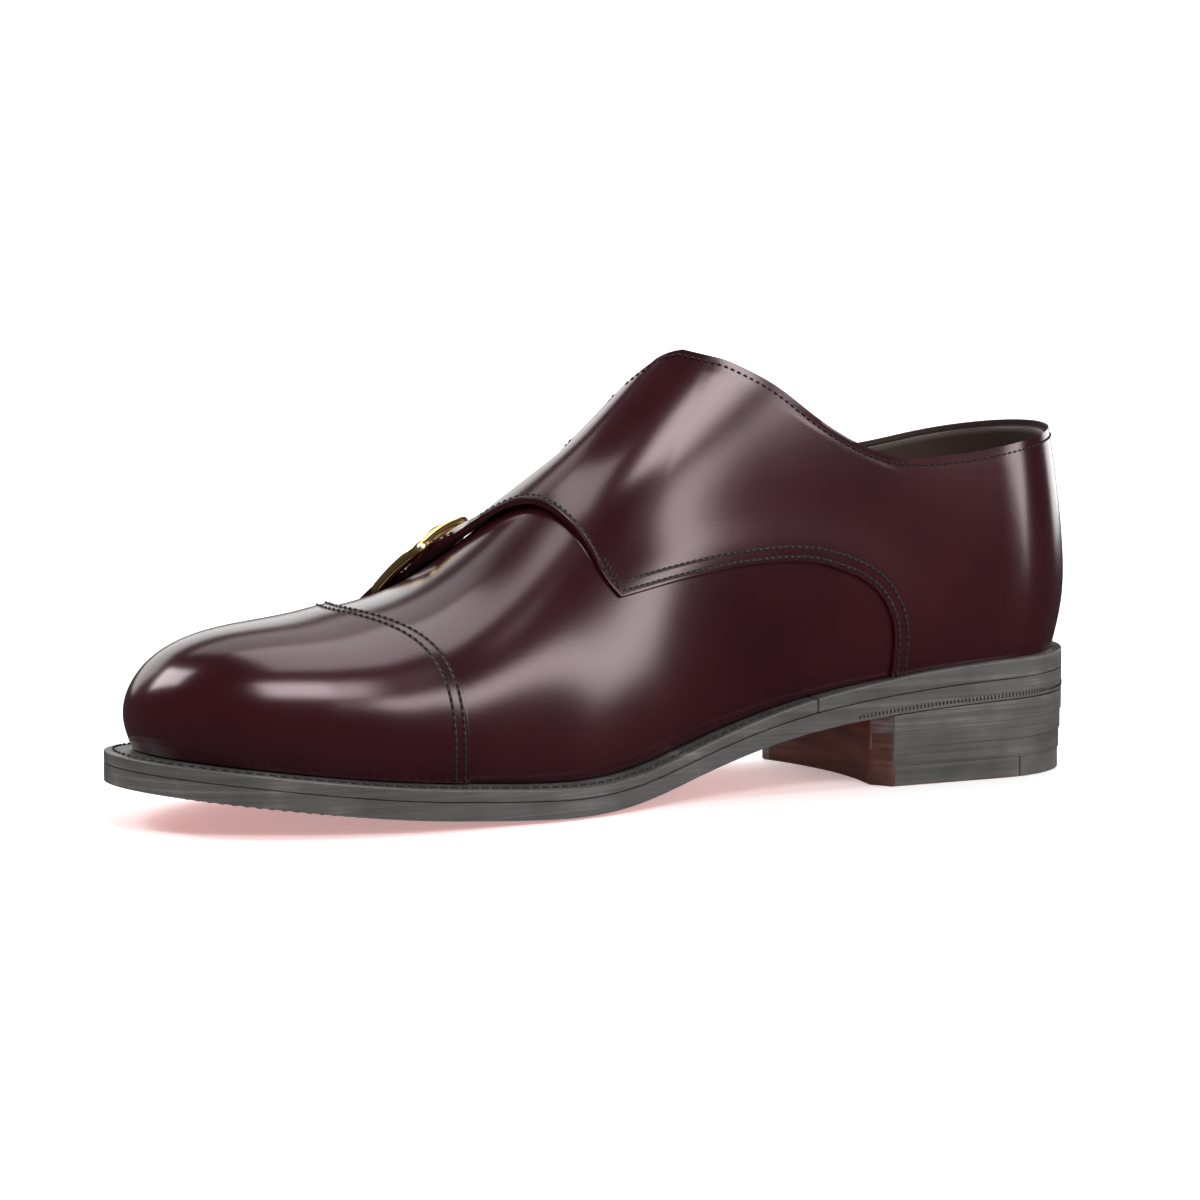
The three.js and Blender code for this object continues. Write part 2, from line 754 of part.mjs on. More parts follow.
const lifts = range(LIFTS - 1, (_, i) => [`heel_lift_${i + 1}`, heelLift(i + 1), edgeDressing]);
const pieces = [
  ["outsole", outsole(), redLeather],
  ["welt", welt(), edgeDressing],
  ["heel_rand", heelRand(), edgeDressing],
  ...lifts,
  ["top_piece_leather", topPiece(false), redLeather],
  ["top_piece_rubber", topPiece(true), rubberDark],
  ["insole", insole(), lining],
  ["upper", upper(), burgundy],
  ["tongue", tongue(), burgundy],
  ["toe_cap", toeCap(), burgundy],
  ["monk_flap", monkFlap(), burgundy],
  ...["front", "rear"].flatMap((name) => [
    [`chape_${name}`, chape(name), burgundy],
    [`buckle_${name}`, buckleFrame(name), brass],
    [`prong_${name}`, prong(name), brass],
  ]),
];

const shoe = new THREE.Group();
for (const [name, geometry, finish] of pieces) {
  const mesh = new THREE.Mesh(geometry, finish);
  mesh.name = name;
  shoe.add(mesh);
}

// The origin is on the ground under the middle of the footprint's box.
const box = new THREE.Box3().setFromObject(shoe);
const centre = box.getCenter(new THREE.Vector3());
shoe.position.set(-centre.x, -centre.y, 0);

export default shoe;
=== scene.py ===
import math

import bmesh
import bpy
import numpy as np
from mathutils import Matrix, Vector


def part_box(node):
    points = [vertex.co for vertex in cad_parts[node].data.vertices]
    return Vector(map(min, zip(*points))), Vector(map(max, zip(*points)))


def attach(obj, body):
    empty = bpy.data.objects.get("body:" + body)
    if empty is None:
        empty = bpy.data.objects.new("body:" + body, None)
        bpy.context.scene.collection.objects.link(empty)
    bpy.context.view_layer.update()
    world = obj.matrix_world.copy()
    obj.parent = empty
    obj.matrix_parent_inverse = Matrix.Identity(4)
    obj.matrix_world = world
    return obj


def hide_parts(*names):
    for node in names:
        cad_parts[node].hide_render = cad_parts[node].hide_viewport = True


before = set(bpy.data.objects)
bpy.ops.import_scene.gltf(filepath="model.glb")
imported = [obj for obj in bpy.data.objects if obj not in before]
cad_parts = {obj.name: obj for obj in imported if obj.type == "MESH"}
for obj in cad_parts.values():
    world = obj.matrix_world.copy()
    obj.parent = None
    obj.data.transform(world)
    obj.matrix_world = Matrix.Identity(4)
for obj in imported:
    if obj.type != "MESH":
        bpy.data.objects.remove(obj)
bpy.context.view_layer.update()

# Sizes are in millimetres: x from the back of the heel to the toe, y to the inner side, z up.

LENGTH = 300
HEEL_ROUND = 35
TOE_ROUND = 51
WALL = 2.0
BREAST = 77
BREAST_HOLLOW = 5
CORNER_CUT = 6
CROWN = 1.0
TOP_PIECE = 6
LIFTS = 3
HEEL_TAPER = 1.0
GAP = 0.3
THROAT = 148
CAP_SIDE = 212
CAP_SWEEP = 21
CAP_POWER = 1.8
STRAP_WIDTH = 21.5
SPLIT = -0.08
TIP_ROUND = 7
TIP_REACH = 0.09
BUCKLE_WIDE = 29.5
BUCKLE_LONG = 22
BUCKLE_BAR = 3.4
BUCKLE_THICK = 2.8
BUCKLE_CORNER = 4
BUCKLE_LOW = 0.4
BUCKLE_HIGH = 3.65
BUCKLE_ARCH = 1.6
BUCKLE_TILT = 0.9
BUCKLE_BOW = 0.3
STITCH = 2.0


def spline(rows, column=1):
    """A natural cubic curve through the first column and another one."""
    xs = np.array([row[0] for row in rows], float)
    ys = np.array([row[column] for row in rows], float)
    n = len(xs)
    step = np.diff(xs)
    system = np.eye(n)
    target = np.zeros(n)
    for i in range(1, n - 1):
        system[i, i - 1:i + 2] = step[i - 1], 2 * (step[i - 1] + step[i]), step[i]
        target[i] = 6 * ((ys[i + 1] - ys[i]) / step[i] - (ys[i] - ys[i - 1]) / step[i - 1])
    bend = np.linalg.solve(system, target)

    def value(at):
        at = np.clip(np.asarray(at, float), xs[0], xs[-1])
        i = np.clip(np.searchsorted(xs, at) - 1, 0, n - 2)
        a = (xs[i + 1] - at) / step[i]
        b = 1 - a
        cubic = (a ** 3 - a) * bend[i] + (b ** 3 - b) * bend[i + 1]
        return a * ys[i] + b * ys[i + 1] + cubic * step[i] ** 2 / 6
    return value


# x, half width to the inner edge, half width to the outer edge
SOLE = [(30, 32.6, 33.4), (70, 33.2, 35.0), (105, 32.8, 36.5), (140, 35.7, 40.5), (175, 46.6, 49.5),
        (205, 50.2, 52.0), (235, 50.4, 48.4), (255, 46.9, 42.4), (275, 44.8, 39.2), (300, 44.2, 38.2)]
# x, height of the outsole's lower edge
UNDER = [(0, 23.6), (78, 20.2), (100, 17.0), (125, 10.6), (150, 3.6), (166, 1.2), (180, 0.7),
         (195, 1.2), (212, 2.3), (235, 4.2), (270, 8.4), (300, 12.0)]
# x, thickness of the outsole, thickness of outsole and welt
LAYERS = [(0, 6.0, 11.8), (60, 5.6, 10.8), (100, 5.0, 9.0), (140, 4.8, 8.0), (200, 5.0, 8.5), (300, 5.0, 8.5)]
# x, width of the welt outside the upper, its rise
WELT = [(0, 3.6, 0), (70, 4.2, 0), (110, 6.0, 0.4), (150, 7.0, 0.8), (190, 7.6, 1.0), (300, 7.6, 1.0)]
# x, height of the last's ridge, its shift to the inner side
RIDGE = [(0, 188, 0), (60, 168, 0), (100, 146.6, 0), (135, 117.7, 1.4), (155, 99.3, 2.3), (180, 80.4, 3.3),
         (205, 64.3, 4.0), (230, 57.5, 3.6), (255, 55.6, 2.9), (285, 58.0, 2.2)]
# x, steepness of the wall, fullness over the top, swell over the welt
RIB = [(0, 0.27, 0.89, 3.0), (60, 0.35, 0.80, 5.0), (110, 0.45, 0.70, 6.0), (150, 0.52, 0.57, 5.0),
       (200, 0.62, 0.60, 4.0), (250, 0.64, 0.65, 4.0), (300, 0.69, 0.75, 4.0)]
TOE_DROP = 61.4
TOE_DROP_POWER = 2.92
# height over the welt, shift along x
BACK_CURVE = [(0, 0), (14, -4.0), (30, -4.2), (50, -1.5), (75, 3.5), (120, 14)]
BACK_REACH = 80
TOE_SWELL = [(0, -0.8), (8, 2.1), (18, 2.4), (35, -0.3), (60, 0)]
TOE_REACH = 60

sole_medial = spline(SOLE, 1)
sole_lateral = spline(SOLE, 2)
under_edge = spline(UNDER)
sole_thick = spline(LAYERS, 1)
edge_thick = spline(LAYERS, 2)
margin = spline(WELT, 1)
welt_rise = spline(WELT, 2)
ridge_height = spline(RIDGE, 1)
ridge_shift = spline(RIDGE, 2)
rib_steep = spline(RIB, 1)
rib_full = spline(RIB, 2)
rib_swell = spline(RIB, 3)
back_curve = spline(BACK_CURVE)
toe_swell = spline(TOE_SWELL)

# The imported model's frame: its origin is under the middle of the whole shoe.
sole_low, sole_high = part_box("outsole")
across = np.linspace(150, 260, 400)
SHIFT = np.array([
    sole_low[0] * 1000,
    (sole_low[1] * 1000 + sole_lateral(across).max() + sole_high[1] * 1000 - sole_medial(across).max()) / 2,
    0,
])


def unit(vectors):
    return vectors / np.linalg.norm(vectors, axis=1, keepdims=True)


def lengths_along(line):
    """Length of a line from its start to each of its points."""
    return np.concatenate([[0], np.cumsum(np.linalg.norm(np.diff(line, axis=0), axis=1))])


def eased(share):
    return share ** 2 * (3 - 2 * share)


def metres(points):
    return (np.asarray(points, float) + SHIFT) / 1000


def sole_top(x):
    return under_edge(x) + sole_thick(x)


def welt_top(x):
    return under_edge(x) + edge_thick(x)


def feather(x):
    return welt_top(x) + welt_rise(x)


def round_end(distance, reach, power):
    left = 1 - np.clip(distance / reach, 0, 1)
    return np.clip(1 - left ** power, 0, None) ** (1 / power)


def even(inset):
    return (lambda x: inset + 0 * x), inset, inset


def inside_welt(inset):
    return (lambda x: margin(x) + inset), float(margin(0)) + inset, float(margin(LENGTH)) + inset


def outline(x, offset):
    """Middle, half width and roundness of the outline at x, standing in by an offset."""
    side, back, front = offset
    medial = sole_medial(x) - side(x)
    lateral = sole_lateral(x) - side(x)
    cap = round_end(x - back, HEEL_ROUND - back, 2) * round_end(LENGTH - front - x, TOE_ROUND - front, 2)
    return (medial - lateral) / 2, (medial + lateral) / 2 * cap, cap


def rib_point(x, side, t, inset=0.0):
    """Points of the upper, inset under its outside.

    side is 1 inner or -1 outer, t is 0 at the welt and 1 on the ridge."""
    x, side, t, inset = np.broadcast_arrays(*(np.asarray(v, float) for v in (x, side, t, inset)))
    offset = inside_welt(inset)
    middle, half, cap = outline(x, offset)
    toe_end = LENGTH - offset[2]
    foot = feather(x)
    rise = (ridge_height(x) - inset - foot) * round_end(toe_end - x, TOE_DROP - inset, TOE_DROP_POWER)
    ridge = middle + ridge_shift(x) * cap
    w = (1 - t) ** 3, 3 * (1 - t) ** 2 * t, 3 * (1 - t) * t * t, t ** 3
    y = (w[0] * (middle + side * half) + w[1] * (middle + side * (half + rib_swell(x) * cap))
         + w[2] * (ridge + side * rib_full(x) * half) + w[3] * ridge)
    up = w[1] * rib_steep(x) * rise + (w[2] + w[3]) * rise
    near_back = np.clip(1 - x / BACK_REACH, 0, None) ** 2
    near_toe = np.clip(1 - (toe_end - x) / TOE_REACH, 0, None) ** 2
    shift = back_curve(up) * near_back + toe_swell(up) * near_toe
    return np.stack([x + shift, y, foot + up], -1)


def on_upper(x, way, proud=0.0):
    """way: 1 at the inner welt, 0 on the ridge, -1 at the outer welt. proud: the height over the leather."""
    x, way, proud = np.broadcast_arrays(*(np.asarray(v, float) for v in (x, way, proud)))
    at_heel = np.clip(1 - (x - float(margin(0))) / 40, 0, 1) ** 2
    at_toe = np.clip(1 - (LENGTH - float(margin(LENGTH)) - x) / 50, 0, 1) ** 2
    return rib_point(x + proud * (at_toe - at_heel), np.where(way < 0, -1.0, 1.0), 1 - np.abs(way), -proud)


def laid(line, proud=0.0):
    """Points of a line or grid of (x, way)."""
    return on_upper(line[..., 0], line[..., 1], proud)


def way_at(x, side, z):
    """The way round at which the upper has height z at x."""
    x = np.asarray(x, float)
    low = np.zeros_like(x)
    high = np.ones_like(x)
    for _ in range(40):
        middle = (low + high) / 2
        below = rib_point(x, side, middle)[..., 2] < z
        low = np.where(below, middle, low)
        high = np.where(below, high, middle)
    return side * (1 - low)


# ---------------------------------------------------------------- meshes

def add_mesh(name, points, faces, materials, slots=None):
    mesh = bpy.data.meshes.new(name)
    mesh.from_pydata([tuple(p) for p in metres(points)], [], faces)
    for material in materials:
        mesh.materials.append(material)
    if slots is not None:
        mesh.polygons.foreach_set("material_index", slots)
    work = bmesh.new()
    work.from_mesh(mesh)
    bmesh.ops.remove_doubles(work, verts=work.verts, dist=2e-6)
    bmesh.ops.dissolve_degenerate(work, edges=work.edges, dist=1e-6)
    bmesh.ops.recalc_face_normals(work, faces=work.faces)
    work.to_mesh(mesh)
    work.free()
    mesh.shade_smooth()
    piece = bpy.data.objects.new(name, mesh)
    bpy.context.collection.objects.link(piece)
    return piece


def soften(piece, width, segments=2, angle=32):
    """Rounds a piece's sharp edges."""
    bevel = piece.modifiers.new("edges", "BEVEL")
    bevel.width = width / 1000
    bevel.segments = segments
    bevel.limit_method = "ANGLE"
    bevel.angle_limit = math.radians(angle)
    bevel.use_clamp_overlap = True
    weighted = piece.modifiers.new("shading", "WEIGHTED_NORMAL")
    weighted.keep_sharp = True
    weighted.weight = 90
    return piece


def grid_faces(rows, columns, start=0, turn=False):
    index = start + np.arange(rows * columns).reshape(rows, columns)
    quads = np.stack([index[:-1, :-1], index[1:, :-1], index[1:, 1:], index[:-1, 1:]], -1).reshape(-1, 4)
    return (quads[:, ::-1] if turn else quads).tolist()


def rim_faces(rows, columns, sides):
    """Faces that close the rim between two grids: a side is a name, or (name, first, last) for a part."""
    outer = np.arange(rows * columns).reshape(rows, columns)
    inner = outer + rows * columns
    lines = {"first": (outer[0], inner[0]), "last": (outer[-1], inner[-1]),
             "start": (outer[:, 0], inner[:, 0]), "end": (outer[:, -1], inner[:, -1])}
    faces = []
    for side in sides:
        side, low, high = side if isinstance(side, tuple) else (side, 0, None)
        a, b = (line[low:high] for line in lines[side])
        faces += np.stack([a[:-1], a[1:], b[1:], b[:-1]], -1).tolist()
    return faces


def sheet_parts(outer, inner, sides, start=0):
    """Points, faces and material slots of a sheet between two grids: outside 0, inside 1, edge 2."""
    rows, columns = outer.shape[:2]
    points = np.concatenate([outer.reshape(-1, 3), inner.reshape(-1, 3)])
    top = grid_faces(rows, columns)
    bottom = grid_faces(rows, columns, rows * columns, True)
    rim = rim_faces(rows, columns, sides)
    faces = (np.array(top + bottom + rim) + start).tolist()
    return points, faces, [0] * len(top) + [1] * len(bottom) + [2] * len(rim)


ALL_SIDES = ("first", "last", "start", "end")


def leather_sheet(name, outer, inner, materials, sides=ALL_SIDES):
    """A closed sheet between two grids: materials are those of the outside, the inside and the edge."""
    points, faces, slots = sheet_parts(outer, inner, sides)
    return add_mesh(name, points, faces, materials, slots)


def joined_sheets(name, parts, materials):
    """One mesh of several sheets, each given as (outer grid, inner grid, closed sides)."""
    points, faces, slots = [], [], []
    for part in parts:
        start = sum(len(some) for some in points)
        some_points, some_faces, some_slots = sheet_parts(*part, start=start)
        points.append(some_points)
        faces += some_faces
        slots += some_slots
    return add_mesh(name, np.concatenate(points), faces, materials, slots)


def stack_faces(rings, around, start):
    """Faces of a closed stack of rings of points."""
    faces = []
    for k in range(rings - 1):
        a = start + k * around
        for j in range(around):
            n = (j + 1) % around
            faces.append([a + j, a + n, a + around + n, a + around + j])
    last = start + (rings - 1) * around
    return faces + [list(range(start, start + around)), list(range(last, last + around))]


def tube(name, ring, material, closed=False):
    """A bar: ring gives the points of its cross-section at each place along it."""
    n, m = ring.shape[:2]
    index = np.arange(n * m).reshape(n, m)
    if closed:
        index = np.vstack([index, index[:1]])
    across_index = np.hstack([index, index[:, :1]])
    faces = np.stack([across_index[:-1, :-1], across_index[1:, :-1], across_index[1:, 1:],
                      across_index[:-1, 1:]], -1).reshape(-1, 4).tolist()
    if not closed:
        faces += [list(range(m)), list(range((n - 1) * m, n * m))]
    return add_mesh(name, ring.reshape(-1, 3), faces, [material])


def smooth_line(points, count):
    """The points spread evenly along a smooth line through some points."""
    points = np.asarray(points, float)
    length = lengths_along(points)
    at = np.linspace(0, length[-1], count)
    return np.stack([spline(list(zip(length, column)))(at) for column in points.T], -1)


def even_steps(line, pitch):
    """Points of a fine line at an even pitch, and the line's direction there."""
    length = lengths_along(line)
    count = max(int(length[-1] / pitch), 1)
    at = (np.arange(count) + 0.5) * length[-1] / count
    behind, spots, ahead = (np.stack([np.interp(at + step, length, column) for column in line.T], -1)
                            for step in (-0.2, 0, 0.2))
    return spots, unit(ahead - behind)


def stitches(name, lines, material, pitch=STITCH, share=0.72, thick=0.5, sunk=0.1):
    """Rows of stitches: lines is a list of (points, outward directions)."""
    across_count, along_count = 6, 5
    turn = np.linspace(0, 2 * np.pi, across_count, endpoint=False)
    points, faces = [], []
    for line, outward in lines:
        spots, ways = even_steps(line, pitch)
        nearest = np.argmin(((spots[:, None] - line[None]) ** 2).sum(-1), 1)
        for spot, way, up in zip(spots, ways, outward[nearest]):
            side = np.cross(way, up)
            start = len(points)
            for s in np.linspace(-1, 1, along_count):
                girth = math.sqrt(max(1 - s ** 4, 0.02)) * thick / 2
                centre = spot + way * s * pitch * share / 2 + up * (thick / 2 - sunk - 0.18 * s * s)
                points += [centre + girth * (math.cos(a) * side + math.sin(a) * up) for a in turn]
            faces += stack_faces(along_count, across_count, start)
    return add_mesh(name, np.array(points), faces, [material])


# ---------------------------------------------------------------- materials

def new_material(name):
    material = bpy.data.materials.new(name)
    material.use_nodes = True
    tree = material.node_tree
    shader = tree.nodes["Principled BSDF"]
    return material, tree, shader


def node(tree, kind, inputs=None, **settings):
    made = tree.nodes.new(kind)
    for key, value in settings.items():
        setattr(made, key, value)
    for key, value in (inputs or {}).items():
        if isinstance(value, bpy.types.NodeSocket):
            tree.links.new(value, made.inputs[key])
        else:
            made.inputs[key].default_value = value
    return made


def place_nodes(tree, scale=(1, 1, 1)):
    where = node(tree, "ShaderNodeTexCoord").outputs["Object"]
    return node(tree, "ShaderNodeMapping", {"Vector": where, "Scale": scale}).outputs[0]


def noise(tree, where, scale, detail=3.0, roughness=0.5):
    return node(tree, "ShaderNodeTexNoise",
                {"Vector": where, "Scale": scale, "Detail": detail, "Roughness": roughness}).outputs["Fac"]


def ramp(tree, value, stops):
    made = node(tree, "ShaderNodeValToRGB", {"Fac": value})
    band = made.color_ramp
    while len(band.elements) < len(stops):
        band.elements.new(0.5)
    for element, (at, colour) in zip(band.elements, stops):
        element.position = at
        element.color = (*colour, 1)
    return made.outputs["Color"]


def span(tree, value, low, high):
    return node(tree, "ShaderNodeMapRange", {"Value": value, "To Min": low, "To Max": high}).outputs[0]


def bump(tree, height, strength, distance, below=None):
    inputs = {"Height": height, "Strength": strength, "Distance": distance / 1000}
    if below is not None:
        inputs["Normal"] = below
    return node(tree, "ShaderNodeBump", inputs).outputs[0]


def dress(tree, shader, colour, roughness, normal=None):
    """Sets a finish: roughness is a number or a node's output."""
    tree.links.new(colour, shader.inputs["Base Color"])
    if isinstance(roughness, float):
        shader.inputs["Roughness"].default_value = roughness
    else:
        tree.links.new(roughness, shader.inputs["Roughness"])
    if normal is not None:
        tree.links.new(normal, shader.inputs["Normal"])


def blend(tree, first, second):
    """The mean of two values."""
    total = node(tree, "ShaderNodeMath", {0: first, 1: second}, operation="ADD").outputs[0]
    return node(tree, "ShaderNodeMath", {0: total, 1: 0.5}, operation="MULTIPLY").outputs[0]


def polished_leather():
    material, tree, shader = new_material("burgundy_leather")
    where = place_nodes(tree)
    clouds = noise(tree, where, 22, 4, 0.55)
    pores = noise(tree, where, 1700, 2, 0.6)
    grain = node(tree, "ShaderNodeTexVoronoi", {"Vector": where, "Scale": 900}).outputs["Distance"]
    colour = ramp(tree, clouds, [(0.3, (0.019, 0.0024, 0.0043)), (0.7, (0.032, 0.0042, 0.0070))])
    fine = bump(tree, pores, 0.35, 0.05)
    dress(tree, shader, colour, span(tree, clouds, 0.17, 0.22), bump(tree, grain, 0.05, 0.05, fine))
    shader.inputs["Specular IOR Level"].default_value = 0.55
    shader.inputs["Specular Tint"].default_value = (1.0, 0.80, 0.84, 1)
    shader.inputs["Coat Weight"].default_value = 0.2
    shader.inputs["Coat Roughness"].default_value = 0.2
    return material


def mottled(name, clouds, stops, roughness, fine):
    """A finish with clouds of colour (scale, detail) and a fine grain (scale, detail, strength)."""
    material, tree, shader = new_material(name)
    where = place_nodes(tree)
    colour = ramp(tree, noise(tree, where, *clouds), stops)
    scale, detail, strength = fine
    dress(tree, shader, colour, roughness, bump(tree, noise(tree, where, scale, detail), strength, 0.1))
    return material


def thread(name, dark, light):
    return mottled(name, (3000, 2), [(0.3, dark), (0.7, light)], 0.6, (4000, 2, 0.4))


def edge_dressing():
    """Waxed edges of sole, welt and heel, with the layers of leather showing as fine lines."""
    material, tree, shader = new_material("edge_leather")
    where = place_nodes(tree, (18, 18, 1200))
    lines = noise(tree, where, 1.0, 4, 0.6)
    clouds = noise(tree, place_nodes(tree), 60, 3)
    colour = ramp(tree, blend(tree, lines, clouds), [
        (0.3, (0.042, 0.039, 0.037)), (0.55, (0.085, 0.079, 0.076)), (0.75, (0.19, 0.18, 0.17))])
    dress(tree, shader, colour, span(tree, lines, 0.30, 0.50), bump(tree, lines, 0.25, 0.12))
    return material


def red_sole():
    material, tree, shader = new_material("sole_leather")
    streaks = noise(tree, place_nodes(tree, (55, 340, 60)), 1.0, 5, 0.65)
    clouds = noise(tree, place_nodes(tree), 16, 3)
    colour = ramp(tree, blend(tree, streaks, clouds), [
        (0.28, (0.40, 0.030, 0.012)), (0.5, (0.62, 0.058, 0.024)), (0.72, (0.76, 0.105, 0.050))])
    dress(tree, shader, colour, span(tree, streaks, 0.32, 0.5), bump(tree, streaks, 0.2, 0.15))
    return material


def brass():
    material, tree, shader = new_material("brass")
    where = place_nodes(tree)
    shade = noise(tree, where, 90, 3)
    colour = ramp(tree, shade, [(0.3, (0.78, 0.55, 0.20)), (0.7, (0.93, 0.72, 0.34))])
    dress(tree, shader, colour, span(tree, noise(tree, where, 700, 3), 0.12, 0.26))
    shader.inputs["Metallic"].default_value = 1.0
    return material


def breast_leather():
    material, tree, shader = new_material("breast_leather")
    streaks = noise(tree, place_nodes(tree, (40, 40, 500)), 1.0, 5, 0.6)
    colour = ramp(tree, streaks, [(0.3, (0.045, 0.018, 0.014)), (0.7, (0.13, 0.055, 0.042))])
    dress(tree, shader, colour, 0.45)
    return material


LEATHER = polished_leather()
# The dark colour of cut leather edges, also used for the painted shade in the stitch channels.
EDGE_AND_CHANNEL_SHADE = mottled("leather_edge_and_channel_shade", (300, 3), [(0.3, (0.012, 0.004, 0.005)), (0.8, (0.03, 0.01, 0.012))],
               0.4, (1500, 2, 0.2))
LINING = mottled("lining_leather", (40, 4), [(0.3, (0.030, 0.016, 0.011)), (0.7, (0.055, 0.030, 0.020))],
                 0.62, (1400, 3, 0.25))
DRESSING = edge_dressing()
SOLE_RED = red_sole()
BREAST_LEATHER = breast_leather()
RUBBER = mottled("heel_rubber", (120, 4), [(0.3, (0.055, 0.052, 0.050)), (0.7, (0.10, 0.095, 0.09))],
                 0.62, (2200, 2, 0.3))
BRASS = brass()
THREAD = thread("dark_thread", (0.006, 0.003, 0.004), (0.015, 0.007, 0.008))
SOLE_THREAD = thread("sole_thread", (0.03, 0.012, 0.008), (0.07, 0.035, 0.02))
PANEL = [LEATHER, LINING, EDGE_AND_CHANNEL_SHADE]


def settle(piece, slot, *nodes):
    """The piece moves with the shoe and stands for some nodes. slot is not used."""
    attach(piece, "root")
    if nodes:
        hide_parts(*nodes)
    return piece


# ---------------------------------------------------------------- sole

def cosine(count, low, high):
    return low + (high - low) * (1 - np.cos(np.linspace(0, np.pi, count))) / 2


def plate(name, stations, places, offset, x_at, bottom, top, materials, slots):
    """A plate over the sole's outline: slots are the materials of its underside, its top and its side."""
    u, v = np.meshgrid(np.linspace(0, 1, stations), np.linspace(-1, 1, places), indexing="ij")
    x = x_at(u, v)
    middle, half, cap = outline(x, offset)
    y = middle + v * half
    low = np.stack([x, y, bottom(x, v, cap)], -1)
    high = np.stack([x, y, top(x, v, cap)], -1)
    points, faces, parts = sheet_parts(low, high, ALL_SIDES)
    return add_mesh(name, points, faces, materials, [slots[part] for part in parts])


def whole_sole(offset):
    return lambda u, v: offset[1] + (LENGTH - offset[2] - offset[1]) * (1 - np.cos(np.pi * u)) / 2


def domed(x, v, cap):
    return np.maximum(under_edge(x) - CROWN * (1 - v ** 4) * cap, 0)


outsole = plate("outsole_leather", 150, 41, even(0.0), whole_sole(even(0.0)), domed,
                lambda x, v, cap: sole_top(x), [SOLE_RED, DRESSING], (0, 1, 1))
settle(soften(outsole, 0.7, 3), "sole_leather", "outsole")

insole_offset = inside_welt(WALL + 0.6)
insole = plate("sock_lining", 90, 21, insole_offset, whole_sole(insole_offset),
               lambda x, v, cap: feather(x) - 1.0, lambda x, v, cap: feather(x) + 1.6 + 1.2 * v ** 4,
               [LINING], (0, 0, 0))
settle(soften(insole, 0.5), "lining_leather", "insole")


def breast_line(v):
    return BREAST - BREAST_HOLLOW * (1 - v * v) - np.clip((v - 0.8) / 0.2, 0, None) * CORNER_CUT


def heel_plate(name, low, high, inset, materials, slots):
    def x_at(u, v):
        return inset + (breast_line(v) - inset) * (1 - np.cos(np.pi * u / 2))
    return plate(name, 40, 41, even(inset), x_at, low, high, materials, slots)


def heel_level(share):
    return lambda x, v, cap: TOP_PIECE + share * (domed(x, v, cap) - GAP - TOP_PIECE)


for number in range(1, LIFTS + 1):
    low, high = heel_level((number - 1) / LIFTS), heel_level(number / LIFTS)
    lift = heel_plate(f"lift_{number}", lambda x, v, cap, f=low: f(x, v, cap) + 0.03, high,
                      HEEL_TAPER * (1 - number / LIFTS), [DRESSING], (0, 0, 0))
    settle(soften(lift, 0.08, 1), "edge_leather", f"heel_lift_{number}")

breast_v, breast_up = np.meshgrid(np.linspace(-0.99, 0.99, 41), np.linspace(0, 1, 5), indexing="ij")
breast_x = breast_line(breast_v)
breast_middle, breast_half, breast_cap = outline(breast_x, even(0.4))
breast_top = domed(breast_x, breast_v, breast_cap) - 0.2
breast_face = np.stack([breast_x, breast_middle + breast_v * breast_half,
                        0.4 + (breast_top - 0.4) * breast_up], -1)
breast = leather_sheet("heel_breast", breast_face + (0.15, 0, 0), breast_face - (0.6, 0, 0),
                       [BREAST_LEATHER] * 3)
settle(breast, "sole_leather")

RUBBER_MEDIAL = 27
RUBBER_LATERAL = 48


def joint_line(y):
    slope = (RUBBER_MEDIAL - RUBBER_LATERAL) / float(sole_medial(30) + sole_lateral(50))
    return RUBBER_LATERAL + slope * (y + float(sole_lateral(50)))


def top_piece(name, rubber, materials, slots):
    """The ground layer of the heel, in front of or behind the slanting joint."""
    offset = even(HEEL_TAPER)

    def joint_at(v):
        middle, half, _ = outline(np.full_like(v, 38.0), offset)
        x = joint_line(middle + v * half)
        middle, half, _ = outline(x, offset)
        return joint_line(middle + v * half)

    def x_at(u, v):
        joint = joint_at(v)
        if rubber:
            return HEEL_TAPER + (joint - GAP / 2 - HEEL_TAPER) * (1 - np.cos(np.pi * u / 2))
        return joint + GAP / 2 + (breast_line(v) - joint - GAP / 2) * u
    return plate(name, 40, 41, offset, x_at, lambda x, v, cap: 0 * x,
                 lambda x, v, cap: TOP_PIECE + 0 * x, materials, slots)


settle(soften(top_piece("heel_tip_rubber", True, [RUBBER], (0, 0, 0)), 0.4),
       "heel_rubber", "top_piece_rubber")
settle(soften(top_piece("heel_tip_leather", False, [SOLE_RED, DRESSING], (0, 1, 1)), 0.3),
       "sole_leather", "top_piece_leather")

JOINT = 96
RING_SHELF = 1.5
# share of the way from the sole's edge to the ring's inner edge, and which face of the ring
RING_CORNERS = [(0, "low"), (0, "top"), (0.12, "top"), (0.5, "top"), (0.85, "top"), (1, "top"), (1, "low")]


def ring_piece(name, x_at, steps=110):
    """A strip that follows the sole's edge, with its top sloping up to the upper."""
    u = np.linspace(0, 1, steps)
    _, inner_back, inner_front = inside_welt(WALL + RING_SHELF)
    sections = []
    for side, order in ((1, u), (-1, u[::-1][1:])):
        corners = []
        for share, height in RING_CORNERS:
            offset = (
                (lambda x, s=share: s * (margin(x) + WALL + RING_SHELF)),
                share * inner_back,
                share * inner_front,
            )
            x = x_at(order, offset)
            middle, half, _ = outline(x, offset)
            if height == "low":
                z = sole_top(x) + 0.1
            else:
                z = welt_top(x) + (feather(x) - 0.1 - welt_top(x)) * share
            corners.append(np.stack([x, middle + side * half, z], -1))
        sections.append(np.stack(corners, 1))
    ring = np.concatenate(sections)
    return soften(tube(name, ring, DRESSING), 0.55, 3)


def welt_x(u, offset):
    return JOINT + 0.1 + (LENGTH - offset[2] - JOINT - 0.1) * np.sin(np.pi * u / 2)


def rand_x(u, offset):
    return offset[1] + (JOINT - 0.1 - offset[1]) * (1 - np.sin(np.pi * u / 2))


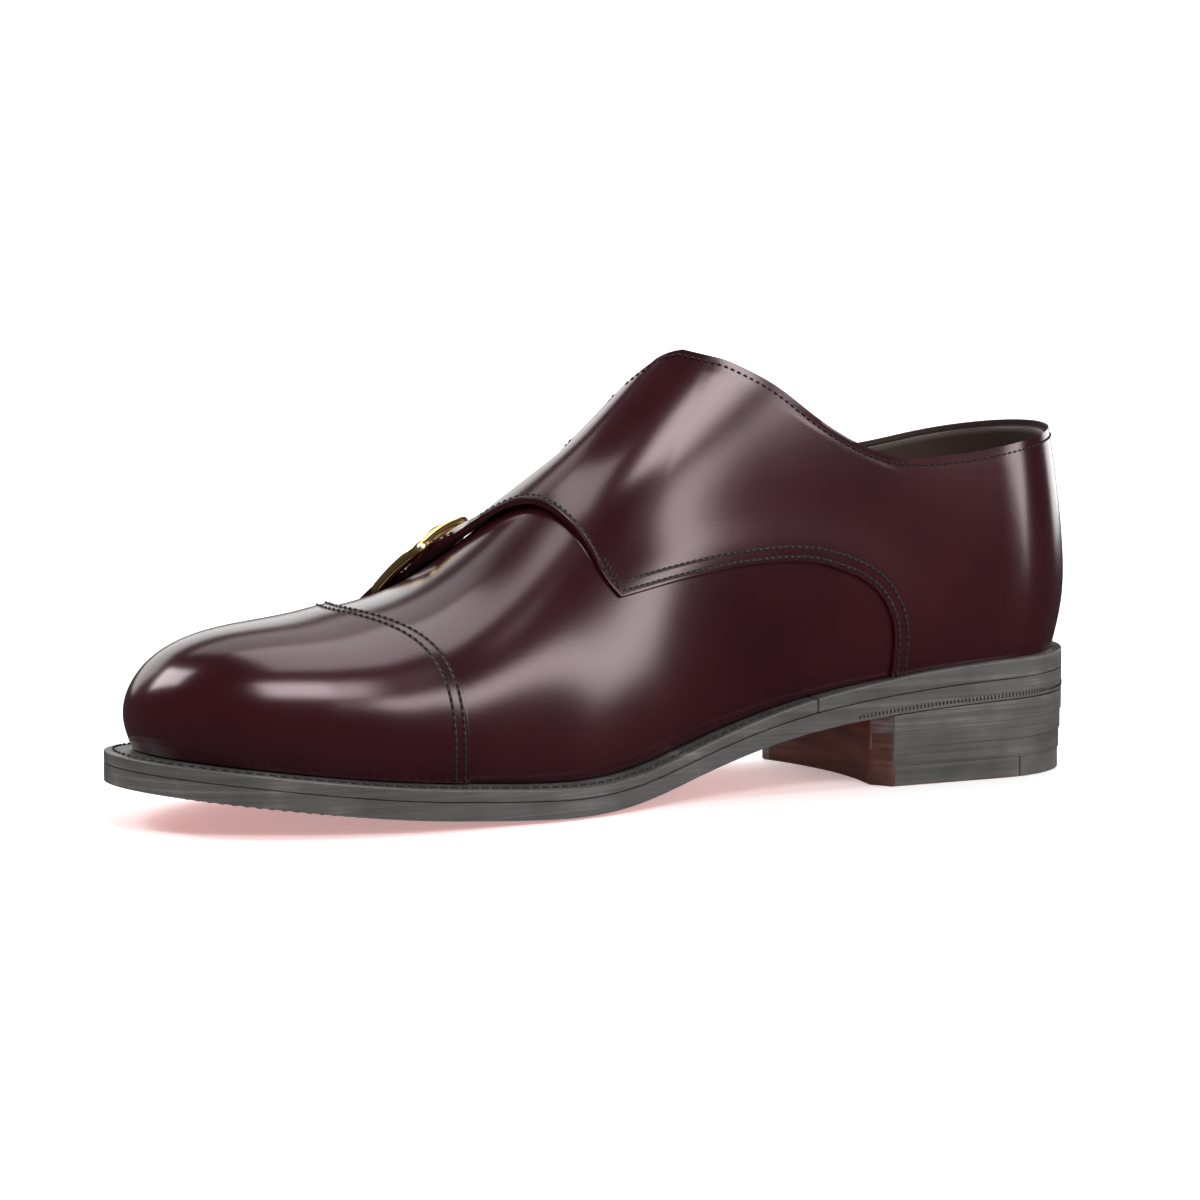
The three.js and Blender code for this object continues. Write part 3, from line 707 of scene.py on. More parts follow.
settle(ring_piece("welt_strip", welt_x), "edge_leather", "welt")
settle(ring_piece("heel_rand_strip", rand_x), "edge_leather", "heel_rand")

# ---------------------------------------------------------------- upper

# x, height of the collar on the inner side, then of the shell under it on the outer side
COLLAR_MEDIAL = [(0, 101), (30, 96.5), (62, 94.2), (76, 96.8), (84, 100.8), (92, 106.2), (101, 113.7),
                 (106, 117.3), (111, 120.2), (116, 122.7), (121, 124.0), (125, 124.9)]
COLLAR_LATERAL = [(0, 101), (30, 96.0), (62, 92.6), (78, 95.5), (92, 101.5), (105, 106.5), (120, 108.8),
                  (135, 107.8), (148, 104.6)]
# where the inner collar turns over towards the ridge, and where it meets it
COLLAR_CREST = 125
RIDGE_CROSSING = 131.5
collar_medial = spline(COLLAR_MEDIAL)
collar_lateral = spline(COLLAR_LATERAL)


def collar_way(x, side):
    """Way round of the collar's edge, 0 in front of it."""
    x = np.asarray(x, float)
    if side > 0:
        upto = np.minimum(x, COLLAR_CREST)
        way = way_at(upto, 1, collar_medial(upto))
        share = np.clip((x - COLLAR_CREST) / (RIDGE_CROSSING - COLLAR_CREST), 0, 1)
        return way * (1 - share) * np.sqrt(1 - share * share)
    upto = np.minimum(x, THROAT)
    return np.where(x >= THROAT, 0, way_at(upto, -1, collar_lateral(upto)))


def shell_grid(side, inset):
    """Grid of one side of the upper, from the welt up to the collar's edge or to the ridge."""
    back = float(margin(0)) + inset
    front = LENGTH - float(margin(LENGTH)) - inset
    marks = 1 - np.cos(np.linspace(0, np.pi / 2, 90))
    ahead = np.sin(np.linspace(0, np.pi / 2, 90)[1:])
    middle = np.linspace(RIDGE_CROSSING, THROAT, 12)[1:]
    x_out = np.concatenate([back - inset + (RIDGE_CROSSING - back + inset) * marks, middle,
                            THROAT + (front + inset - THROAT) * ahead])
    x_in = np.concatenate([back + (RIDGE_CROSSING - back) * marks, middle, THROAT + (front - THROAT) * ahead])
    turn = RIDGE_CROSSING if side > 0 else THROAT
    cut = 1 - np.abs(collar_way(x_out, side)) - np.where(x_out < turn, 0.006, 0)
    t = cut[:, None] * np.linspace(0, 1, 46)[None]
    return rib_point(x_in[:, None], side, t, inset)


OPEN_ROWS = 101
shell_rims = ("start", ("end", 0, OPEN_ROWS))
shell = joined_sheets("vamp_leather", [(shell_grid(side, 0.0), shell_grid(side, WALL), shell_rims)
                                       for side in (1, -1)], [LEATHER, LINING, EDGE_AND_CHANNEL_SHADE])
settle(shell, "upper_leather", "upper")

# distances from a panel's edge at which its grid has a row
NEAR_EDGE = np.array([0, 0.25, 0.5, 0.8, 1.1, 1.4, 1.7, 2.1, 2.6, 3.1, 3.5, 3.8, 4.1, 4.4, 4.8, 5.6, 6.8])


def groove(distance, at, depth=0.16, wide=0.45):
    return depth * np.exp(-((distance - at) / wide) ** 2)


def ruled(outer_line, inner_line, rows=34, split=None, shares=0):
    """Grid of (x, way) between two lines, with rows close together near the outer line.

    Split gives other steps between the lines, which take over by the shares. The second result is the
    distance of each point from the inner line."""
    a = outer_line[:, None]
    b = inner_line[:, None]
    length = np.linalg.norm(laid(outer_line) - laid(inner_line), axis=1)
    near = np.minimum(NEAR_EDGE[None] / length[:, None], 0.5)
    rest = np.linspace(0, 1, rows + 1)[1:]
    inner_part = near[:, -1:] + (1 - near[:, -1:]) * rest[None]
    v = np.concatenate([near, inner_part], 1)
    if split is not None:
        v = v + (split[None] - v) * shares[:, None]
    grid = a + (b - a) * v[..., None]
    return grid, (1 - v) * length[:, None]


# about how many millimetres there are over the leather from the welt to the ridge
WAY_MM = 70


def dense(points, per_mm=0.8):
    """A smooth line through points given as (x, way), spread evenly over the leather."""
    points = np.asarray(points, float)
    count = max(int(lengths_along(laid(points))[-1] * per_mm), 3)
    return smooth_line(points * (1, WAY_MM), count) / (1, WAY_MM)


def seam_line(rows, side):
    """Points (x, way) of a seam given by x and height."""
    rows = np.array(rows, float)
    return np.stack([rows[:, 0], way_at(rows[:, 0], side, rows[:, 1])], -1)


def distance_to(grid, line):
    """Distance over the leather from the points of a grid to a line, both given as (x, way)."""
    return np.sqrt(((laid(grid)[:, :, None] - laid(line)[None, None]) ** 2).sum(-1).min(-1))


def inset(line, distance, inside):
    """A line of (x, way) moved square to itself by a distance over the leather, towards the point inside."""
    x, way = line.T
    along_x = on_upper(x + 0.5, way) - on_upper(x - 0.5, way)
    along_way = (on_upper(x, way + 0.005) - on_upper(x, way - 0.005)) / 0.01
    ahead = np.gradient(on_upper(x, way), axis=0)
    up = np.cross(along_x, along_way)
    square = distance * unit(np.cross(up, ahead))
    square *= np.sign((square[len(x) // 2] * (on_upper(*inside) - on_upper(x, way)[len(x) // 2])).sum())
    moved = []
    for a, b, step in zip(along_x, along_way, square):
        moved.append(np.linalg.lstsq(np.stack([a, b], -1), step, rcond=None)[0])
    return line + np.array(moved)


# Way round and x of a strap's front edge, from its tip to its root.
FRONT_STRAP = [(-0.62, 214.4), (-0.54, 211.6), (-0.42, 207.4), (-0.33, 204.5), (-0.24, 200.8), (-0.16, 194.6),
               (-0.08, 187)]
REAR_STRAP = [(-0.74, 164.5), (-0.56, 161.5), (-0.44, 159.5), (-0.32, 157.7), (-0.2, 155.8), (-0.08, 152.5)]
# the buckle's way round, degrees by which its strap runs towards the toe, the strap, and 1 for
# whichever of the strap's rear and front sides faces the notch
BUCKLES = {"front": (-0.33, 22, FRONT_STRAP, (1, 0)), "rear": (-0.5, 8, REAR_STRAP, (0, 1))}
# distance down the side from the buckle's middle, height over the upper
STRAP_LIFT = [(-26, 0.3), (-12, 0.35), (-7, 0.5), (0, 2.2), (6, 3.3), (14, 3.3), (24, 3.8), (36, 5.6)]
strap_lift = spline(STRAP_LIFT)
STRAP_THICK = 2.0
STRAP_CROWN = 0.25
# how far round a strap runs before it is quite free of the flap's shape
ROOT_REACH = 0.11
NOTCH_ROUND = 5.0
FLAP_LIFT = 2.4
SIDE_STEPS = NEAR_EDGE[:9]
STRAP_STEPS = np.concatenate([SIDE_STEPS, [6, 9, 12.5, 15.5], STRAP_WIDTH - SIDE_STEPS[::-1]]) / STRAP_WIDTH
# half the length and width of a buckle's frame, to the middle of its bars
HALF_LONG = (BUCKLE_LONG - BUCKLE_BAR) / 2
HALF_WIDE = (BUCKLE_WIDE - BUCKLE_BAR) / 2


def stretch(x, way):
    return np.linalg.norm(on_upper(x + 0.5, way) - on_upper(x - 0.5, way), axis=-1)


def frame_height(over, down):
    """Height of the buckle frame's underside, at a place measured from its middle."""
    share = np.clip((HALF_LONG - down) / (2 * HALF_LONG), 0, 1)
    sideways = np.clip(over / HALF_WIDE, -1, 1)
    rise = BUCKLE_HIGH - BUCKLE_LOW + BUCKLE_ARCH * (1 - sideways ** 2) + BUCKLE_TILT * sideways
    return BUCKLE_LOW + rise * share + BUCKLE_BOW * np.sin(np.pi * share)


class Wrap:
    """Millimetres across and along a strap from its buckle's middle, laid on the upper."""

    def __init__(self, name):
        self.way, turn, rows, self.notch = BUCKLES[name]
        self.cos, self.sin = math.cos(math.radians(turn)), math.sin(math.radians(turn))
        self.line = spline(rows)
        self.tip = rows[0][0]
        self.x = sum(self.edges(self.way)) / 2
        step = 0.01
        across = on_upper(self.x, self.way - step) - on_upper(self.x, self.way)
        self.per_way = float(np.linalg.norm(across) / step)

    def edges(self, way):
        front = self.line(way)
        slanted = STRAP_WIDTH / self.cos
        return front - slanted / stretch(front - slanted / 2, way), front

    def rooted(self, way):
        """The strap's edges, widened in a round towards the notch at its root."""
        rear, front = self.edges(way)
        near = 1 - np.clip((SPLIT - way) * self.per_way / NOTCH_ROUND, 0, 1)
        widened = NOTCH_ROUND * (1 - np.sqrt(1 - near ** 2))
        return rear - widened * self.notch[0], front + widened * self.notch[1]

    def down(self, way):
        return (self.way - way) * self.per_way / self.cos

    def under_frame(self, x, way):
        """Height that lifts the strap up to the frame where it passes under the upper bar."""
        over_x = (x - self.x) * stretch(self.x, way)
        down_way = (self.way - way) * self.per_way
        over = over_x * self.cos - down_way * self.sin
        down = over_x * self.sin + down_way * self.cos
        near = np.exp(-np.clip(np.abs(down + HALF_LONG) - 3, 0, None) ** 2 / 40)
        return (frame_height(over, down) - STRAP_THICK - 0.2) * near

    def place(self, over, down, height=0.0):
        at = self.way - (np.asarray(down) * self.cos - np.asarray(over) * self.sin) / self.per_way
        return on_upper(self.x + (over * self.cos + down * self.sin) / stretch(self.x, at), at, height)


def root_x(name):
    """Where a strap's rear and front edges leave the flap."""
    return [float(x) for x in Wrap(name).rooted(np.array(SPLIT))]


HEEL_X = float(margin(0))
# how far round the panels reach down to the welt
WELT_WAY = 0.999
PANEL_THICK = 1.6
OUTER_THICK = 1.5
# heights over the upper: a panel's underside at least, its outside, and its rise to a sewn or a free edge
PANEL_GAP = 0.12
PANEL_FLAT = 0.45
PANEL_RISE = 0.85
FREE_RISE = 1.15
CAP_RISE = 0.8
# stitch rows, in from the edge: beside a seam, round the collar, along a strap
SEAM_ROWS = (1.4, 4.2)
COLLAR_ROW = 2.2
STRAP_ROW = 1.4


def collar_line(outer, columns, bend, places, side):
    """The collar's points (x, way) that face those of a panel's outer line.

    columns counts the points along the welt and bend those from there to the seam's bend. places are
    x on the collar over the end of the welt, over the bend and over the end of the seam."""
    length = lengths_along(laid(outer))
    foot = columns - 1
    x = np.interp(length, [0, length[foot], length[foot + bend], length[-1]], [HEEL_X, *places])
    x[:columns] = HEEL_X + (places[0] - HEEL_X) * (outer[:columns, 0] - HEEL_X) / (outer[foot, 0] - HEEL_X)
    return np.stack([x, collar_way(x, side)], -1)


def edge_fade(distance):
    return np.exp(-(distance / 11) ** 2)


def filling(distance):
    """Share by which a lifted part is filled down to the leather, behind its thin lip."""
    return np.exp(-((distance - 8) / 3.5) ** 2)


def rolled(piece, width):
    """Rounds the edges of a leather panel."""
    return soften(piece, width, 3, 50)


# x, height: the seam where the inner quarter lies over the vamp
SEAM_MEDIAL = [(70.0, 39.6), (70.4, 46.3), (72.8, 52.5), (77.5, 58.0), (85.7, 62.4), (94.1, 65.0),
               (102.7, 65.9), (111.5, 65.6), (120.4, 64.9), (129.4, 63.6), (139.4, 62.0), (148.6, 60.4),
               (158.7, 58.8)]
SEAM_FOOT = 70.6
SEAM_BEND = 84
QUARTER_COLUMNS = 60
# x on the inner collar over the foot of the seam, its bend and its end
QUARTER_PLACES = (60, 82, 118)
seam_up = seam_line(SEAM_MEDIAL, 1)
seam = dense([(SEAM_FOOT, WELT_WAY), *seam_up], 1.0)
# x, way: front edge of the flap from its corner over the ridge to where it splits into straps
FLAP_FRONT = [tuple(seam_up[-1]), (163.4, 0.54), (166.5, 0.44), (171.0, 0.29), (175.6, 0.13), (181.0, 0.0),
              (187.0, -0.08)]
front_dense = dense(FLAP_FRONT)

welt_turn = 1 - np.cos(np.linspace(0, np.pi / 2, QUARTER_COLUMNS))
welt_run = np.stack([HEEL_X + (SEAM_FOOT - HEEL_X) * welt_turn, np.full(QUARTER_COLUMNS, WELT_WAY)], -1)
quarter_outer = np.concatenate([welt_run, seam[1:]])
quarter_inner = collar_line(quarter_outer, QUARTER_COLUMNS, int(np.argmax(seam[:, 0] > SEAM_BEND)),
                            QUARTER_PLACES, 1)

rear_x = np.linspace(QUARTER_PLACES[-1], RIDGE_CROSSING, 26)
flap_rear = np.concatenate([np.stack([rear_x, collar_way(rear_x, 1)], -1), [(root_x("rear")[0], SPLIT)]])
flap_rear = smooth_line(flap_rear, len(front_dense))
medial_outer = np.concatenate([quarter_outer, front_dense[1:]])
medial_inner = np.concatenate([quarter_inner, flap_rear[1:]])
front_share = np.clip((np.arange(len(medial_outer)) - len(quarter_outer)) / (len(front_dense) - 1), 0, 1)

# Where the flap splits, its columns become those of the two straps with a notch between them.
front_root, rear_root = root_x("front"), root_x("rear")
split_x = np.concatenate([
    front_root[1] - (front_root[1] - front_root[0]) * STRAP_STEPS,
    np.linspace(front_root[0], rear_root[1], 9)[1:-1],
    rear_root[1] - (rear_root[1] - rear_root[0]) * STRAP_STEPS,
])
split_steps = (split_x[0] - split_x) / (split_x[0] - split_x[-1])
to_split = np.clip((front_share - 0.6) / 0.4, 0, 1)
grid, from_collar = ruled(medial_outer, medial_inner, 34, split_steps, eased(to_split))
from_edge = distance_to(grid, medial_outer[QUARTER_COLUMNS - 1:])


def panel_proud(distance, free_part=0.0):
    """Height of a quarter's outside over the upper, by the distance from its edge. A free edge lifts."""
    lift = FLAP_LIFT * np.clip(free_part * 1.7 - 0.1, 0, 1) * np.exp(-(distance / 24) ** 2)
    sewn_part = PANEL_RISE * edge_fade(distance) * (1 - free_part)
    return PANEL_FLAT + sewn_part + FREE_RISE * free_part + lift


proud = panel_proud(from_edge, front_share[:, None])
high = proud - groove(from_collar, COLLAR_ROW, 0.12)
low = np.maximum(proud - PANEL_THICK, PANEL_GAP)
low -= (low - PANEL_GAP) * filling(from_edge) * np.clip((0.1 - grid[..., 1]) / 0.1, 0, 1)
flap_outer = laid(grid, high)
flap_inner = laid(grid, low)
STRAP_COLUMNS = len(STRAP_STEPS)
notch = ("last", STRAP_COLUMNS - 1, len(split_x) - STRAP_COLUMNS + 1)
flap_parts = [(flap_outer, flap_inner, ("first", "start", "end", notch))]
strap_rows = {}
for name, columns in (("front", slice(0, STRAP_COLUMNS)), ("rear", slice(-STRAP_COLUMNS, None))):
    wrap = Wrap(name)
    way = SPLIT + (wrap.tip - SPLIT) * np.sin(np.linspace(0, np.pi / 2, 64))[1:]
    rear, front = wrap.rooted(way)
    narrow = TIP_ROUND * (1 - round_end(way - wrap.tip, TIP_REACH, 2))
    rear, front = rear + narrow, front - narrow
    x = front[:, None] + (rear - front)[:, None] * STRAP_STEPS[None]
    ways = np.broadcast_to(way[:, None], x.shape)
    root = eased(np.clip((SPLIT - way) / ROOT_REACH, 0, 1)[:, None])
    from_side = (np.minimum(STRAP_STEPS, 1 - STRAP_STEPS) * STRAP_WIDTH)[None]
    lift = np.maximum(strap_lift(wrap.down(way))[:, None], wrap.under_frame(x, ways))
    crown = STRAP_CROWN * np.clip(from_side / 3, 0, 1) - groove(from_side, STRAP_ROW, 0.14, 0.4)
    top = high[-1, columns] * (1 - root) + (lift + STRAP_THICK - STRAP_CROWN + crown) * root
    bottom = low[-1, columns] * (1 - root) + lift * root
    keel = filling(from_side) * (STRAP_STEPS < 0.5) * np.clip(wrap.down(way)[:, None] / -8, 0, 1)
    bottom -= (bottom - 0.2) * keel
    strap_outer = np.concatenate([flap_outer[-1:, columns], on_upper(x, ways, top)])
    strap_inner = np.concatenate([flap_inner[-1:, columns], on_upper(x, ways, bottom)])
    flap_parts.append((strap_outer, strap_inner, ("start", "end", "last")))
    strap_rows[name] = strap_outer, strap_inner
quarter = joined_sheets("quarter_and_flap", flap_parts, [LEATHER, LINING, LEATHER])
settle(rolled(quarter, 0.45), "upper_leather", "monk_flap")


# ---------------------------------------------------------------- outer quarter

# x, way round: the outer quarter's front edge, from the welt round its lobe to the throat
SEAM_LATERAL = [(108, -0.999), (109, -0.93), (112, -0.84), (118, -0.76), (128, -0.70), (141, -0.665),
                (154, -0.635), (164, -0.585), (169, -0.51), (170, -0.42), (168, -0.32), (163, -0.21),
                (156, -0.11), (149, -0.03)]
LATERAL_COLUMNS = 70
# x on the outer collar over the foot of the front edge, its middle and its end
LATERAL_PLACES = (86, 122, THROAT - 0.5)
lateral_front = dense(SEAM_LATERAL)
welt_back = np.stack([cosine(LATERAL_COLUMNS, HEEL_X, SEAM_LATERAL[0][0]),
                      np.full(LATERAL_COLUMNS, -WELT_WAY)], -1)
lateral_outer = np.concatenate([welt_back, lateral_front[1:]])
lateral_inner = collar_line(lateral_outer, LATERAL_COLUMNS, len(lateral_front) // 2, LATERAL_PLACES, -1)
grid, from_collar = ruled(lateral_outer, lateral_inner)
proud = panel_proud(distance_to(grid, lateral_outer[LATERAL_COLUMNS - 1:]))
outer_quarter = leather_sheet("outer_quarter", laid(grid, proud - groove(from_collar, COLLAR_ROW, 0.12)),
                              laid(grid, np.maximum(proud - OUTER_THICK, PANEL_GAP)), PANEL)
settle(rolled(outer_quarter, 0.45), "upper_leather")

# ---------------------------------------------------------------- toe cap

def cap_edge(way):
    return CAP_SIDE + CAP_SWEEP * np.sin((np.pi / 2) * (1 - np.abs(way)) ** CAP_POWER) ** 2


def cap_proud(distance):
    return PANEL_FLAT + CAP_RISE * edge_fade(distance)


cap_way = np.linspace(1, -1, 181)
toe_x = LENGTH - float(margin(LENGTH))
start_x = cap_edge(cap_way)[:, None]
cap_near = start_x + NEAR_EDGE[None]
cap_far = cap_near[:, -1:] + (toe_x - cap_near[:, -1:]) * np.sin(np.linspace(0, np.pi / 2, 60)[1:])[None]
cap_x = np.concatenate([cap_near, cap_far], 1)
ways = np.broadcast_to(cap_way[:, None], cap_x.shape)
toe_cap = leather_sheet("toe_cap_leather", on_upper(cap_x, ways, cap_proud(cap_x - start_x)),
                        on_upper(cap_x, ways, 0.1), [LEATHER, LEATHER, EDGE_AND_CHANNEL_SHADE], ("first", "last", "start"))
settle(rolled(toe_cap, 0.4), "upper_leather", "toe_cap")

# ---------------------------------------------------------------- buckles

# power for a bar's cross-section: 1 gives an ellipse, less a box with rounder corners
BAR_ROUND = 0.45


def bar(wrap, name, over, down, height, girth, material, node_name, closed=False, steps=20):
    """A rounded bar through points measured on the strap. girth is its half width and half thickness."""
    centre = wrap.place(over, down, height)
    if closed:
        ahead = np.roll(centre, -1, 0) - np.roll(centre, 1, 0)
    else:
        ahead = np.gradient(centre, axis=0)
    ahead = unit(ahead)
    up = wrap.place(over, down, np.asarray(height) + 1) - centre
    up = unit(up - (up * ahead).sum(1, keepdims=True) * ahead)
    side = np.cross(ahead, up)
    turn = np.linspace(0, 2 * np.pi, steps, endpoint=False)
    cosines, sines = np.cos(turn), np.sin(turn)
    wide = np.sign(cosines) * np.abs(cosines) ** BAR_ROUND
    tall = np.sign(sines) * np.abs(sines) ** BAR_ROUND
    half_wide = np.broadcast_to(np.asarray(girth[0], float), (len(centre),))[:, None, None]
    half_tall = np.broadcast_to(np.asarray(girth[1], float), (len(centre),))[:, None, None]
    ring = (centre[:, None] + side[:, None] * wide[None, :, None] * half_wide
            + up[:, None] * tall[None, :, None] * half_tall)
    piece = tube(name, ring, material, closed)
    return settle(piece, "brass", *([node_name] if node_name else []))


def buckle(name):
    wrap = Wrap(name)
    side, end = HALF_WIDE - BUCKLE_CORNER, HALF_LONG - BUCKLE_CORNER
    straight_part = np.linspace(0, 1, 12)[1:-1]
    over, down = [], []
    for quarter_turn, (sx, sy) in enumerate(((1, 1), (-1, 1), (-1, -1), (1, -1))):
        turn = np.pi / 2 * (quarter_turn + np.linspace(0, 1, 9))
        over.append(sx * side + BUCKLE_CORNER * np.cos(turn))
        down.append(sy * end + BUCKLE_CORNER * np.sin(turn))
        if quarter_turn % 2 == 0:
            over.append(sx * side * (1 - 2 * straight_part))
            down.append(np.full(10, sy * HALF_LONG))
        else:
            over.append(np.full(10, sx * HALF_WIDE))
            down.append(sy * end * (1 - 2 * straight_part))
    over, down = np.concatenate(over), np.concatenate(down)
    height = frame_height(over, down) + BUCKLE_THICK / 2
    bar(wrap, f"buckle_frame_{name}", over, down, height, (BUCKLE_BAR / 2, BUCKLE_THICK / 2), BRASS,
        f"buckle_{name}", True)
    far = BUCKLE_LONG / 2
    over_bar = BUCKLE_HIGH + BUCKLE_ARCH + BUCKLE_THICK
    path = [(far - BUCKLE_BAR - 0.4, 0.8), (5.5, 1.6), (2, 4.6), (-2, 6.4),
            (2.8 - far, over_bar - 0.9), (0.9 - far, over_bar - 1.3)]
    lie = spline(path[::-1])
    down = np.linspace(path[0][0], path[-1][0], 30)
    taper = 1.2 - 0.45 * np.linspace(0, 1, 30) ** 2
    bar(wrap, f"prong_bar_{name}", 0 * down, down, lie(down) + 0.75, (taper, taper * 0.62), BRASS,
        f"prong_{name}")


CHAPE_LONG = 25.0
CHAPE_WIDE = 17.0
CHAPE_HIGH = 1.7


def chape(name):
    """The folded strip that holds the buckle's lower bar, sewn down beside it."""
    wrap = Wrap(name)
    first = BUCKLE_LONG / 2 - BUCKLE_BAR - 0.2
    down = first + (CHAPE_LONG - first) * np.sin(np.linspace(0, np.pi / 2, 40))
    half = CHAPE_WIDE / 2 - 3.5 * (1 - round_end(CHAPE_LONG - down, 5, 2))
    over = half[:, None] * np.linspace(-1, 1, 21)[None]
    over_bar = 2.6 * np.exp(-((down - BUCKLE_LONG / 2 + BUCKLE_BAR / 2) / 2.2) ** 2)[:, None]
    downs = np.broadcast_to(down[:, None], over.shape)
    high = CHAPE_HIGH + 0.4 * over_bar
    piece = leather_sheet(f"chape_{name}_leather", wrap.place(over, downs, high + 0 * over),
                          wrap.place(over, downs, 0.25 + 0 * over), [LEATHER, LEATHER, EDGE_AND_CHANNEL_SHADE])
    settle(rolled(piece, 0.4), "upper_leather", f"chape_{name}")
    run = np.linspace(first + 5, CHAPE_LONG - 3, 20)
    beside = CHAPE_WIDE / 2 - 1.7
    across_run = np.linspace(-CHAPE_WIDE / 2 + 2.5, CHAPE_WIDE / 2 - 2.5, 12)
    lines = []
    for over, down in ((0 * run - beside, run), (0 * run + beside, run),
                       (across_run, 0 * across_run + CHAPE_LONG - 2.4)):
        line = wrap.place(over, down, CHAPE_HIGH + 0.02)
        lines.append((line, wrap.place(over, down, CHAPE_HIGH + 1.02) - line))
    settle(stitches(f"chape_stitches_{name}", lines, THREAD), "upper_leather")


for name in BUCKLES:
    buckle(name)
    chape(name)

# ---------------------------------------------------------------- tongue

TONGUE_REACH = 0.5
TONGUE_BACK = 128.5
TONGUE_FRONT = 164
TONGUE_SWEEP = 7
tongue_way = np.linspace(TONGUE_REACH, -TONGUE_REACH, 60)
tongue_rear = TONGUE_BACK + TONGUE_SWEEP * np.abs(tongue_way / TONGUE_REACH) ** 3
tongue_x = tongue_rear[:, None] + (TONGUE_FRONT - tongue_rear)[:, None] * np.linspace(0, 1, 26)[None]
tongue_ways = np.broadcast_to(tongue_way[:, None], tongue_x.shape)
tongue = leather_sheet("tongue_leather", on_upper(tongue_x, tongue_ways, -WALL - 0.5),
                       on_upper(tongue_x, tongue_ways, -WALL - 2.4), PANEL)
settle(rolled(tongue, 0.5), "upper_leather", "tongue")

# ---------------------------------------------------------------- stitches

def offset_line(line, distance, towards):
    """A line of (x, way) moved over the leather by a distance towards another line."""
    gap = np.linalg.norm(laid(line) - laid(towards), axis=1)
    return line + (towards - line) * (distance / gap)[:, None]


def sewn(line, proud):
    """Points and outward directions of a row of stitches along a line of (x, way)."""
    points = laid(line, proud)
    return points, unit(laid(line, np.asarray(proud) + 1) - points)


def along_grid(outer, inner, line):
    """Points and outward directions of a row of stitches along a line of a sheet's grid."""
    up = outer[line] - inner[line]
    return outer[line] + 0.02 * up, unit(up)


def painted_channel_shade(name, lines):
    """Dark strips along the sunk channels that rows of stitches lie in: painted shade in the channels."""
    points, faces = [], []
    for line, up in lines:
        side = unit(np.cross(np.gradient(line, axis=0), up))
        start = sum(len(some) for some in points)
        across_steps = [(-0.65, -0.25), (-0.45, 0.05), (0, 0.07), (0.45, 0.05), (0.65, -0.25)]
        grid_points = np.stack([line + side * a + up * b for a, b in across_steps], 1)
        points.append(grid_points.reshape(-1, 3))
        faces += grid_faces(len(line), len(across_steps), start)
    return add_mesh(name, np.concatenate(points), faces, [EDGE_AND_CHANNEL_SHADE])


rows, plain_rows = [], []
for distance, upto in zip(SEAM_ROWS, (-1, -4)):
    rows.append(sewn(inset(seam[:upto], distance, (60, 0.7)), panel_proud(distance)))
    rows.append(sewn(inset(lateral_front[:-10], distance, (100, -0.6)), panel_proud(distance)))
    rows.append(sewn(np.stack([cap_edge(cap_way) + distance, cap_way], -1), cap_proud(distance)))
seam_end = len(quarter_outer)
rows.append(along_grid(flap_outer, flap_inner, (slice(seam_end, None), 5)))
for strap_outer, strap_inner in strap_rows.values():
    for column in (5, -6):
        plain_rows.append(along_grid(strap_outer, strap_inner, (slice(4, -5), column)))
    plain_rows.append(along_grid(strap_outer, strap_inner, (-9, slice(5, -5))))
collar_row = offset_line(medial_inner[2:], COLLAR_ROW, medial_outer[2:])
plain_rows.append(sewn(collar_row, PANEL_FLAT + FREE_RISE * front_share[2:] - 0.08))
collar_row = offset_line(lateral_inner[2:-14], COLLAR_ROW, lateral_outer[2:-14])
plain_rows.append(sewn(collar_row, PANEL_FLAT - 0.08))
# Painted shade: dark strips along the seam rows, in their channels.
settle(painted_channel_shade("stitch_channel_shade", rows), "upper_leather")
rows += plain_rows
settle(stitches("upper_stitches", rows, THREAD, thick=0.6, sunk=0.02), "upper_leather")

tack_lines = []
for step in range(6):
    tack_lines.append(along_grid(flap_outer, flap_inner, (seam_end + 1 + step, slice(6, 13))))
settle(stitches("bar_tacks", tack_lines, THREAD, 2.6, 0.95, 0.55), "upper_leather")

# ---------------------------------------------------------------- sole and heel details

SOLE_ROW = 8.5
WELT_ROW = 2.6
# width over which the welt's top runs from the height of its edge to that of the upper's foot
WELT_SPAN = 11


def both_sides(x, offset):
    """A line through the sole's inner side at x and back along its outer side."""
    middle, half, _ = outline(x, offset)
    back = np.column_stack([x, middle - half])[::-1]
    return np.concatenate([np.column_stack([x, middle + half]), back[1:]])


def sole_path(distance, low):
    """A line round the toe at a distance from the sole's edge, from low on the inner side and back."""
    u = np.linspace(0, 1, 260)
    return both_sides(low + (LENGTH - distance - low) * np.sin(u * np.pi / 2), even(distance))


def under_at(line):
    middle, half, cap = outline(line[:, 0], even(0.0))
    v = np.clip((line[:, 1] - middle) / np.maximum(half, 1e-6), -1, 1)
    return domed(line[:, 0], v, cap)


line = sole_path(SOLE_ROW, BREAST + 2)
sole_rows = [(np.column_stack([line, under_at(line)]), np.tile([0.0, 0.0, -1.0], (len(line), 1)))]
settle(stitches("sole_stitches", sole_rows, SOLE_THREAD, 3.4, 0.8, 0.9, 0.45), "sole_leather")

line = sole_path(WELT_ROW, JOINT + 3)
edge_top = welt_top(line[:, 0])
height = edge_top + (feather(line[:, 0]) - 0.1 - edge_top) * WELT_ROW / WELT_SPAN
welt_rows = [(np.column_stack([line, height]), np.tile([0.0, 0.0, 1.0], (len(line), 1)))]
settle(stitches("welt_stitches", welt_rows, THREAD, 3.2, 0.75, 0.8, 0.2), "edge_leather")

# x, y of the middle of each group of three nails in the heel
NAILS = [(66, -26), (48, -28), (68, 26), (51, 25), (34, 22)]


